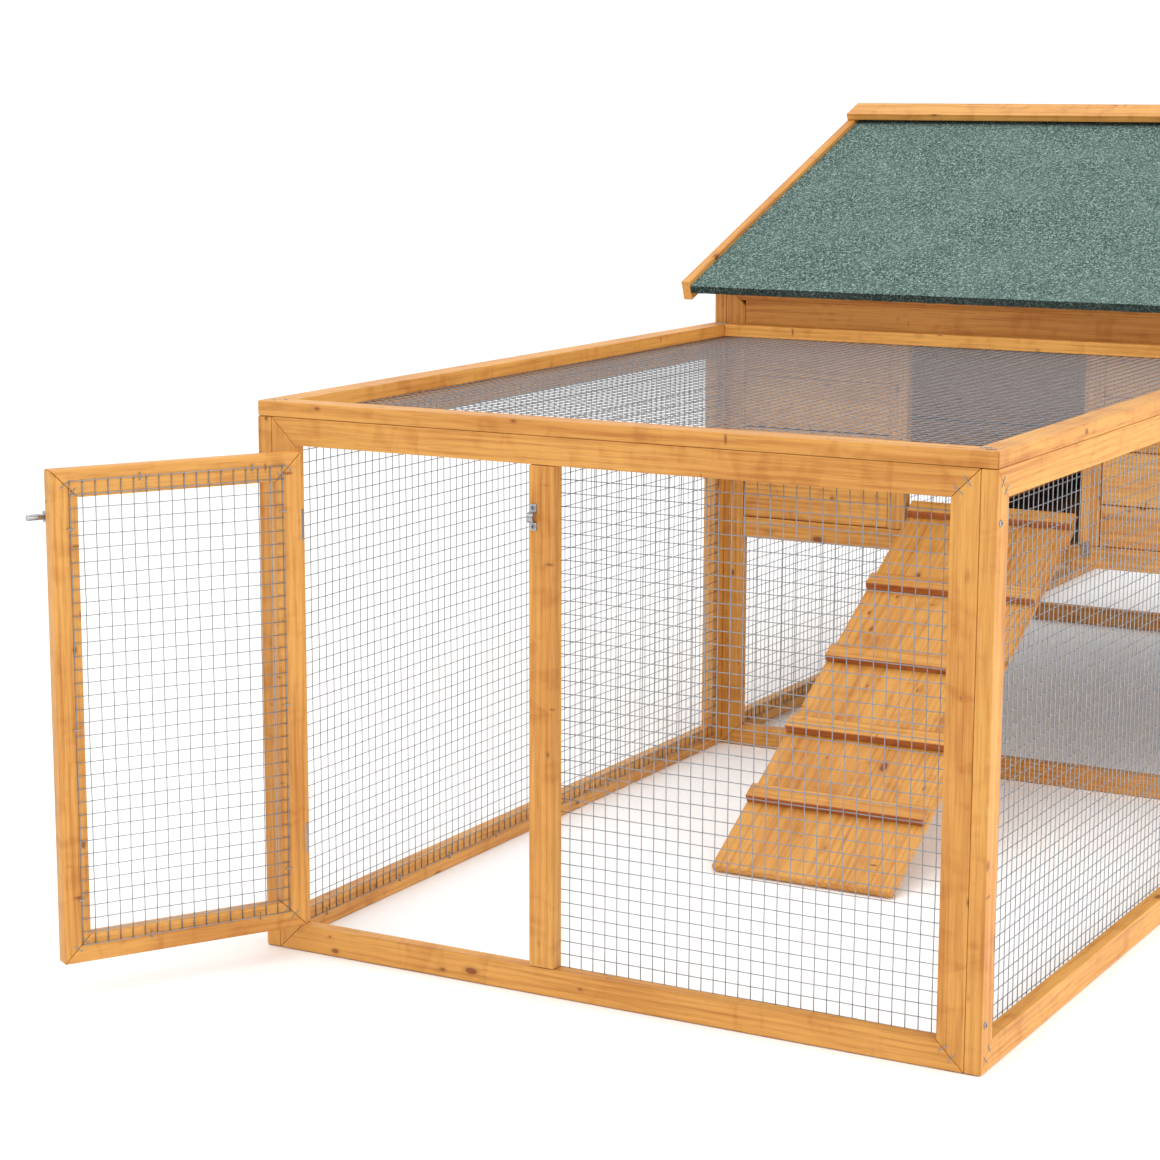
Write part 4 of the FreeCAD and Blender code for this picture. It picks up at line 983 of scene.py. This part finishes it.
class COOP_OT_roof_covering(bpy.types.Operator):
    """Make the roof boards and the felt that wraps over them"""
    bl_idname = "coop.roof_covering"
    bl_label = "Roof boards and felt"

    def execute(self, context):
        settings = roofing()
        low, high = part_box("roof_felt")
        boards = new_mesh()
        for far in (False, True):
            place = slope(far)
            step = slope_length() / settings.rows
            for row in range(settings.rows):
                end = step * (row + 1) + (0.02 if row == settings.rows - 1 else -0.0004)
                slope_board(boards, place, (low.x + 0.0002, step * row, 0),
                            (high.x - 0.0002, end, settings.board), "X", 171.0 + row + 9 * far)
        finish_timber(boards, "roof_planks", "roof_boards")
        felt = new_mesh()
        for far in (False, True):
            self.sheet(felt, slope(far), low.x, high.x)
        # Faces that don't face up (the lip over the eave, the ends, the ridge cut and the underside) take the
        # darker felt: painted shade.
        for face in felt.faces:
            face.material_index = 0 if face.normal.z > 0.5 else 1
        finish_piece(felt, "roof_felt_sheet", "coop", material("felt"), ("roof_felt",),
                     second=material("felt shade"))
        return {"FINISHED"}

    def sheet(self, bm, place, left, right):
        """One slope of felt: a thin slab with a lip over the eave, its surface slightly uneven."""
        settings = roofing()
        top = settings.board + settings.felt
        ridge = slope_length()
        part = new_mesh()
        lip = (-settings.felt, 0.0005), (-settings.felt, top)
        outline = [*lip, (ridge + top * math.tan(settings.pitch), top), (ridge, settings.board),
                   (0, settings.board), (0, 0.0005)]
        face = part.faces.new([part.verts.new((left, along, off)) for along, off in outline])
        moved = bmesh.ops.extrude_face_region(part, geom=[face])["geom"]
        ends = [item for item in moved if isinstance(item, bmesh.types.BMVert)]
        bmesh.ops.translate(part, vec=(right - left, 0, 0), verts=ends)
        bmesh.ops.recalc_face_normals(part, faces=part.faces)
        long = [edge for edge in part.edges if edge.calc_length() > (right - left) * 0.9]
        bmesh.ops.subdivide_edges(part, edges=long, cuts=110)
        rise = [edge for edge in part.edges if edge.calc_length() > 0.3]
        bmesh.ops.subdivide_edges(part, edges=rise, cuts=60)
        for vert in part.verts:
            depth = noise.noise(Vector((vert.co.x * 9, vert.co.y * 7, 1.0)))
            fray = noise.noise(Vector((vert.co.x * 60, 3.0, 0.0)))
            if vert.co.z > settings.board + 0.0005:
                vert.co.z -= settings.unevenness * (1 + depth)
            if vert.co.y < 0.001 and vert.co.z < settings.board:
                vert.co.z += 0.0008 * (1 + fray)
        bmesh.ops.transform(part, matrix=place, verts=part.verts)
        join(bm, part)


class COOP_OT_roof_trim(bpy.types.Operator):
    """Make the barge boards, the ridge cappings and the battens under them"""
    bl_idname = "coop.roof_trim"
    bl_label = "Barge boards and ridge"

    def execute(self, context):
        settings = roofing()
        low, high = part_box("barge_boards")
        over = settings.board + settings.felt
        top = over + settings.proud
        reach = slope_length()
        past = reach + 0.03
        barges, caps, battens = new_mesh(), new_mesh(), new_mesh()
        for far in (False, True):
            place = slope(far)
            for left in (low.x, high.x - settings.barge):
                slope_board(barges, place, (left, -settings.felt, top - settings.depth),
                            (left + settings.barge, past, top), "Y", 191.0 + left * 8 + far)
            slope_board(caps, place, (low.x, reach - settings.cap, top),
                        (high.x, past, top + settings.cap_thick), "X", 201.0 + far * 3)
            slope_board(battens, place, (low.x + settings.barge, reach - settings.cap / 2, over),
                        (high.x - settings.barge, past, top), "X", 207.0 + far)
        finish_timber(barges, "barge_board_set", "barge_boards")
        finish_timber(caps, "ridge_capping_set", "ridge_cappings")
        finish_timber(battens, "ridge_batten_set", "ridge_battens")
        return {"FINISHED"}


# ------------------------------------------------------------------ ramp
class COOP_OT_ramp(bpy.types.Operator):
    """Make the ramp's board and its cleats, lying on its hinges"""
    bl_idname = "coop.ramp"
    bl_label = "Ramp"

    def execute(self, context):
        settings = ramp()
        place = joint_place("ramp_hinge", settings.slope, "X")
        rise = JOINTS["ramp_hinge"]["pos_m"][2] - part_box("ramp_board")[0].z
        reach = (rise + settings.lift * math.cos(settings.slope)) / math.sin(settings.slope)
        half = settings.wide / 2
        top = settings.lift + settings.thick
        plank = new_mesh()
        block(plank, (-half, -reach, settings.lift), (half, settings.end, top), "Y", seed=221.7)
        finish_timber(plank, "ramp_plank", "ramp_board", "ramp", place)
        cleats = new_mesh()
        for index, along in enumerate(settings.cleats):
            start = along - reach
            block(cleats, (-half, start, top),
                  (half, start + settings.cleat_wide, top + settings.cleat_thick), "X", rounding=0.0011,
                  seed=231.0 + 2.7 * index)
        # The cleats' faces across the slope take the redder, darker pine: part red stain, part painted shade.
        for face in cleats.faces:
            face.material_index = 1 if abs(face.normal.y) > 0.3 else 0
        finish_piece(cleats, "ramp_cleat_set", "ramp", material("pine"), ("ramp_cleats",), place,
                     second=material("cleat"))
        return {"FINISHED"}


# ------------------------------------------------------------------ fittings
def staple(bm, middle, along, out, crown):
    """A wire staple driven over a joint: its crown and the shoulders of its legs."""
    radius = fittings().staple
    half = along * crown / 2
    rod(bm, middle - half + out * radius * 0.3, middle + half + out * radius * 0.3, radius, 6)
    for end in (middle - half, middle + half):
        rod(bm, end + out * radius, end - out * fittings().leg, radius, 6)


def mitre_staples(bm, corner, across, up, wide, high, out, shares=(0.44, 0.74), where=(0, 1, 2, 3)):
    """Two staples over each chosen mitre of a frame, as seen from one face."""
    width = timber().batten
    corners = ((corner, across, up), (corner + across * wide, -across, up),
               (corner + across * wide + up * high, -across, -up), (corner + up * high, across, -up))
    for index, (point, first, second) in enumerate(corners):
        if index not in where:
            continue
        for step, share in enumerate(shares):
            wobble = 0.12 * math.sin(7.3 * index + 3.1 * step + corner.x * 5 + corner.y)
            way = (first - second + (first + second) * wobble).normalized()
            staple(bm, point + (first + second) * width * share, way, out, fittings().crown)


def edge_staples(bm, low, high, across, up, inward, first):
    """Staples that hold the border wires of a panel down onto its battens."""
    pitch = wire().pitch
    over = inward * 2 * wire().gauge
    origin, rows = wire_rows(low, high, across, up, inward, first)
    for (step, offset, count), (way, other, number) in ((rows[0], rows[1]), (rows[1], rows[0])):
        groups = max(2, int(count * pitch / fittings().spacing))
        for index in range(groups):
            cell = int((index + 0.5 + 0.2 * math.sin(index * 5.1 + count)) * (count - 1) / groups)
            along = offset + (cell + 0.5) * pitch
            for border in (other, other + (number - 1) * pitch):
                staple(bm, origin + step * along + way * border + over, way, inward, fittings().edge_crown)


class COOP_OT_staples(bpy.types.Operator):
    """Drive staples over the mitres and along the wire"""
    bl_idname = "coop.staples"
    bl_label = "Staples"

    def execute(self, context):
        bm = new_mesh()
        low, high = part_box("front_panel_frame")
        mitre_staples(bm, Vector((low.x, low.y, 0)), X, Z, high.x - low.x, high.z, -Y, where=(1, 2))
        low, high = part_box("rear_end_panel_frame")
        mitre_staples(bm, Vector((low.x, high.y - 0.0008, 0)), X, Z, high.x - low.x, high.z, Y)
        for run in ("front_run", "rear_run"):
            low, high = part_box(run + "_left_panel_frame")
            mitre_staples(bm, low, Y, Z, high.y - low.y, high.z, -X)
            low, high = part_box(run + "_right_panel_frame")
            mitre_staples(bm, Vector((high.x, low.y, 0)), Y, Z, high.y - low.y, high.z, X)
            low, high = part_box(run + "_lid_frame")
            mitre_staples(bm, Vector((low.x, low.y, high.z)), X, Y, high.x - low.x, high.y - low.y, Z)
        for name, node, across, up, inward, first in WIRE_PANELS:
            edge_staples(bm, *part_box(node), across, up, inward, first)
        finish_piece(bm, "coop_staples", "coop", material("staple"))
        self.door_staples()
        return {"FINISHED"}

    def door_staples(self):
        """The staples on the door's inner face."""
        bm = new_mesh()
        corner, high = door_lines()
        mitre_staples(bm, corner, X, Z, door().wide, high, Y, (0.52, 0.80))
        edge_staples(bm, *door_sheet(), X, Z, Y, door_wires())
        finish_piece(bm, "door_staples", "door", material("staple"),
                     place=joint_place("run_door", door().opened, "Z"))


def screw_head(metal_bm, slot_shade_bm, point, out, radius):
    """A domed head with a near-black cross laid on it: painted shade for the cross cut into it."""
    side = out.orthogonal().normalized()
    other = out.cross(side)
    rim, dome, shoulder, crown = (radius * share for share in (0.22, 0.36, 0.96, 0.6))
    rod(metal_bm, point, point + out * rim, radius, 20, shoulder)
    rod(metal_bm, point + out * rim, point + out * dome, shoulder, 20, crown)
    # Two thin near-black boards crossed on the dome: painted shade in the slot.
    for way, cross in ((side + other, side - other), (side - other, side + other)):
        board(slot_shade_bm, (radius * 1.35, radius * 0.30, radius * 0.08),
              basis(way, cross, point + out * radius * 0.345), rounding=radius * 0.02, gap=0.0)


class COOP_OT_screws(bpy.types.Operator):
    """Drive the corner screws and the small screws of the fittings"""
    bl_idname = "coop.screws"
    bl_label = "Screws"

    def execute(self, context):
        heads, slots, plate_heads = new_mesh(), new_mesh(), new_mesh()
        self.corner_screws(heads, slots)
        self.keeper_screws(plate_heads, slots)
        self.jamb_plate_screws(plate_heads, slots)
        finish_piece(heads, "corner_screw_heads", "coop", material("zinc"),
                     ("corner_screws",))
        finish_piece(plate_heads, "plate_screw_heads", "coop", material("zinc"))
        # Near-black crosses on the screw heads: painted shade in the slots.
        finish_piece(slots, "screw_slot_shade", "coop", material("recess"))
        self.bolt_screws()
        return {"FINISHED"}

    def corner_screws(self, heads, slots):
        """The screws that hold the corners of the runs and of the house."""
        low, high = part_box("corner_screws")
        radius = fittings().screw
        front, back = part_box("house_front_frame"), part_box("house_back_frame")
        run = (0.045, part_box("front_panel_frame")[1].z - 0.047)
        house = (0.045, timber().floor_rail + timber().batten / 2, front[1].z - 0.040)
        rows = ((low.y + radius, run), ((front[0].y + front[1].y) / 2, house),
                ((back[0].y + back[1].y) / 2, house), (high.y - radius, run))
        for along, levels in rows:
            for level in levels:
                for side in (-1, 1):
                    point = Vector(((high.x - 0.0012) * side, along, level))
                    screw_head(heads, slots, point, X * side, radius)

    def keeper_screws(self, heads, slots):
        """One screw in each tab of the keeper."""
        left, right, face, bottom, top = keeper_lines()
        for level in (bottom + 0.0034, top - 0.0034):
            point = Vector(((left + right) / 2, face - fittings().strap, level))
            screw_head(heads, slots, point, -Y, fittings().keeper_screw)

    def jamb_plate_screws(self, heads, slots):
        """The two screws of the small plate beside the hens' doorway."""
        low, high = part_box("jamb_plate")
        for level in (low.z + 0.004, high.z - 0.004):
            screw_head(heads, slots, Vector(((low.x + high.x) / 2, low.y, level)), -Y, fittings().plate_screw)

    def bolt_screws(self):
        """The four screws of the bolt's backplate, on the door's outer face."""
        heads, slots = new_mesh(), new_mesh()
        low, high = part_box("bolt_plate_and_loops")
        edge = door().inset + door().wide
        for along in (edge - 0.018, edge - 0.010):
            for level in (low.z + 0.0035, high.z - 0.0035):
                point = Vector((along, door().face - 0.0012, door_level(level)))
                screw_head(heads, slots, point, -Y, fittings().bolt_screw)
        place = joint_place("run_door", door().opened, "Z")
        finish_piece(heads, "bolt_screw_heads", "door", material("zinc"), place=place)
        # Near-black crosses on the bolt's screw heads: painted shade in the slots.
        finish_piece(slots, "bolt_screw_slot_shade", "door", material("recess"), place=place)


def keeper_lines():
    """The keeper's two sides, the face it lies on, and its lower and upper ends."""
    low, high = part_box("bolt_keeper")
    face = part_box("front_panel_frame")[0].y
    return low.x + 0.0011, high.x - 0.0022, face, low.z + 0.0004, high.z - 0.0004


def half_round(face, centre, radius, way):
    """Points along the side of a hoop, from below to above or back, as (along Y, up) pairs."""
    turns = [math.pi * step / 12 for step in range(13)]
    middle = face - fittings().reach
    return [(middle - radius * math.sin(turn), centre - way * radius * math.cos(turn)) for turn in turns]


class COOP_OT_keeper(bpy.types.Operator):
    """Bend the bolt's keeper: a strap with a round hoop between two tabs"""
    bl_idname = "coop.keeper"
    bl_label = "Bolt keeper"

    def execute(self, context):
        left, right, face, bottom, top = keeper_lines()
        centre = (bottom + top) / 2
        radius = fittings().hoop
        bore = radius - fittings().strap
        front = face - fittings().strap
        outline = [(face, bottom), (front, bottom), (front, centre - radius),
                   *half_round(face, centre, radius, 1), (front, centre + radius), (front, top), (face, top),
                   (face, centre + bore), *half_round(face, centre, bore, -1), (face, centre - bore)]
        bm = new_mesh()
        strap = bm.faces.new([bm.verts.new((left, along, level)) for along, level in outline])
        moved = bmesh.ops.extrude_face_region(bm, geom=[strap])["geom"]
        side = [item for item in moved if isinstance(item, bmesh.types.BMVert)]
        bmesh.ops.translate(bm, vec=(right - left, 0, 0), verts=side)
        bmesh.ops.recalc_face_normals(bm, faces=bm.faces)
        finish_piece(bm, "bolt_keeper_strap", "coop", material("bright"), ("bolt_keeper",))
        return {"FINISHED"}


class COOP_OT_ironwork(bpy.types.Operator):
    """Finish the hinges, bolt and plates that come with the frame"""
    bl_idname = "coop.ironwork"
    bl_label = "Hinges and bolt"

    def execute(self, context):
        for node in ("fixed_hinge_leaves", "hinge_pins", "door_hinge_leaves", "ramp_hinge_leaves",
                     "front_house_door_leaves", "rear_house_door_leaves", "bolt_plate_and_loops",
                     "turn_button_screw"):
            dress(node, "zinc")
        dress("bolt_rod", "bright")
        dress("jamb_plate", "staple")
        return {"FINISHED"}


class COOP_OT_turn_button(bpy.types.Operator):
    """Make the turn button with its ends rounded"""
    bl_idname = "coop.turn_button"
    bl_label = "Turn button"

    def execute(self, context):
        low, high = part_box("turn_button")
        bm = new_mesh()
        size = high - low
        board(bm, (size.z, size.y, size.x), basis(Z, -Y, (low + high) / 2), rounding=0.0022, seed=241.0)
        finish_piece(bm, "house_door_button", "button", material("cleat"), ("turn_button",))
        return {"FINISHED"}


# ------------------------------------------------------------------ stage
class COOP_OT_stage(bpy.types.Operator):
    """Set the pale floor, the soft lights and the camera"""
    bl_idname = "coop.stage"
    bl_label = "Stage"

    def execute(self, context):
        settings = context.scene.coop_stage
        bm = bmesh.new()
        bmesh.ops.create_grid(bm, x_segments=1, y_segments=1, size=30.0)
        mesh = bpy.data.meshes.new("floor")
        bm.to_mesh(mesh)
        bm.free()
        floor = bpy.data.objects.new("floor", mesh)
        floor.location.z = -0.0005
        context.scene.collection.objects.link(floor)
        made = Nodes("pale floor")
        made.shader.inputs["Base Color"].default_value = (*settings.floor, 1)
        made.shader.inputs["Roughness"].default_value = 0.9
        made.shader.inputs["Specular IOR Level"].default_value = 0.1
        mesh.materials.append(made.material)
        self.lights(context, settings)
        self.camera(context)
        return {"FINISHED"}

    def lights(self, context, settings):
        """An even pale surround, a broad key, an overhead light and two on the right-hand side."""
        world = bpy.data.worlds.new("studio")
        context.scene.world = world
        world.use_nodes = True
        glow = world.node_tree.nodes["Background"]
        glow.inputs["Color"].default_value = (1, 1, 1, 1)
        glow.inputs["Strength"].default_value = settings.sky
        for name, place, target, size, power in (
                ("key", (-1.2, -3.4, 4.6), (0, -0.2, 0.3), 3.2, settings.key),
                ("side", (4.2, -1.2, 2.2), (0, -0.4, 0.3), 3.0, settings.side),
                ("top", (0.2, -0.6, 4.9), (0.0, -0.5, 0.3), 3.6, settings.top),
                ("low", (1.35, -0.75, 0.35), (0.38, -0.55, 0.1), 0.7, settings.low)):
            light = bpy.data.lights.new(name, "AREA")
            light.size = size
            light.energy = power
            lamp = bpy.data.objects.new(name, light)
            lamp.location = place
            aim = Vector(target) - Vector(place)
            lamp.rotation_euler = aim.to_track_quat("-Z", "Y").to_euler()
            context.scene.collection.objects.link(lamp)
        context.scene.view_settings.view_transform = "Standard"

    def camera(self, context):
        """A long lens, low at the front right corner."""
        settings = context.scene.coop_stage
        lens = bpy.data.cameras.new("camera")
        lens.sensor_width = 36
        lens.lens = settings.lens
        lens.shift_x = 0.0365
        lens.shift_y = 0.0112
        camera = bpy.data.objects.new("camera", lens)
        camera.location = (1.197, -3.217, 0.863)
        camera.rotation_euler = (math.radians(90) + settings.tilt, 0, settings.turn)
        context.scene.collection.objects.link(camera)
        context.scene.camera = camera


# ------------------------------------------------------------------ panel and registration
SETTINGS = (("coop_timber", TimberSettings), ("coop_door", DoorSettings), ("coop_doorway", DoorwaySettings),
            ("coop_wire", WireSettings), ("coop_roof", RoofSettings), ("coop_ramp", RampSettings),
            ("coop_fittings", FittingSettings), ("coop_stage", StageSettings))
OPERATORS = (COOP_OT_stage, COOP_OT_front_panel, COOP_OT_run_sides, COOP_OT_run_roofs, COOP_OT_rear_end,
             COOP_OT_run_door, COOP_OT_wire, COOP_OT_cross_walls, COOP_OT_gable_walls, COOP_OT_house_inside,
             COOP_OT_house_doors, COOP_OT_trays, COOP_OT_roof_covering, COOP_OT_roof_trim, COOP_OT_ramp,
             COOP_OT_staples, COOP_OT_screws, COOP_OT_keeper, COOP_OT_ironwork, COOP_OT_turn_button)


class COOP_PT_panel(bpy.types.Panel):
    """The coop's making steps and settings"""
    bl_idname = "COOP_PT_panel"
    bl_label = "Hen Coop"
    bl_space_type = "VIEW_3D"
    bl_region_type = "UI"
    bl_category = "Hen Coop"

    def draw(self, context):
        for operator in OPERATORS:
            self.layout.operator(operator.bl_idname)
        for attribute, group in SETTINGS:
            column = self.layout.column()
            for name in group.__annotations__:
                column.prop(getattr(context.scene, attribute), name)


def register():
    for attribute, group in SETTINGS:
        bpy.utils.register_class(group)
        setattr(bpy.types.Scene, attribute, PointerProperty(type=group))
    for operator in OPERATORS:
        bpy.utils.register_class(operator)
    bpy.utils.register_class(COOP_PT_panel)


def unregister():
    bpy.utils.unregister_class(COOP_PT_panel)
    for operator in reversed(OPERATORS):
        bpy.utils.unregister_class(operator)
    for attribute, group in reversed(SETTINGS):
        delattr(bpy.types.Scene, attribute)
        bpy.utils.unregister_class(group)


def main():
    register()
    for operator in OPERATORS:
        step = operator.bl_idname.split(".")[1]
        getattr(bpy.ops.coop, step)()


if __name__ == "__main__":
    main()
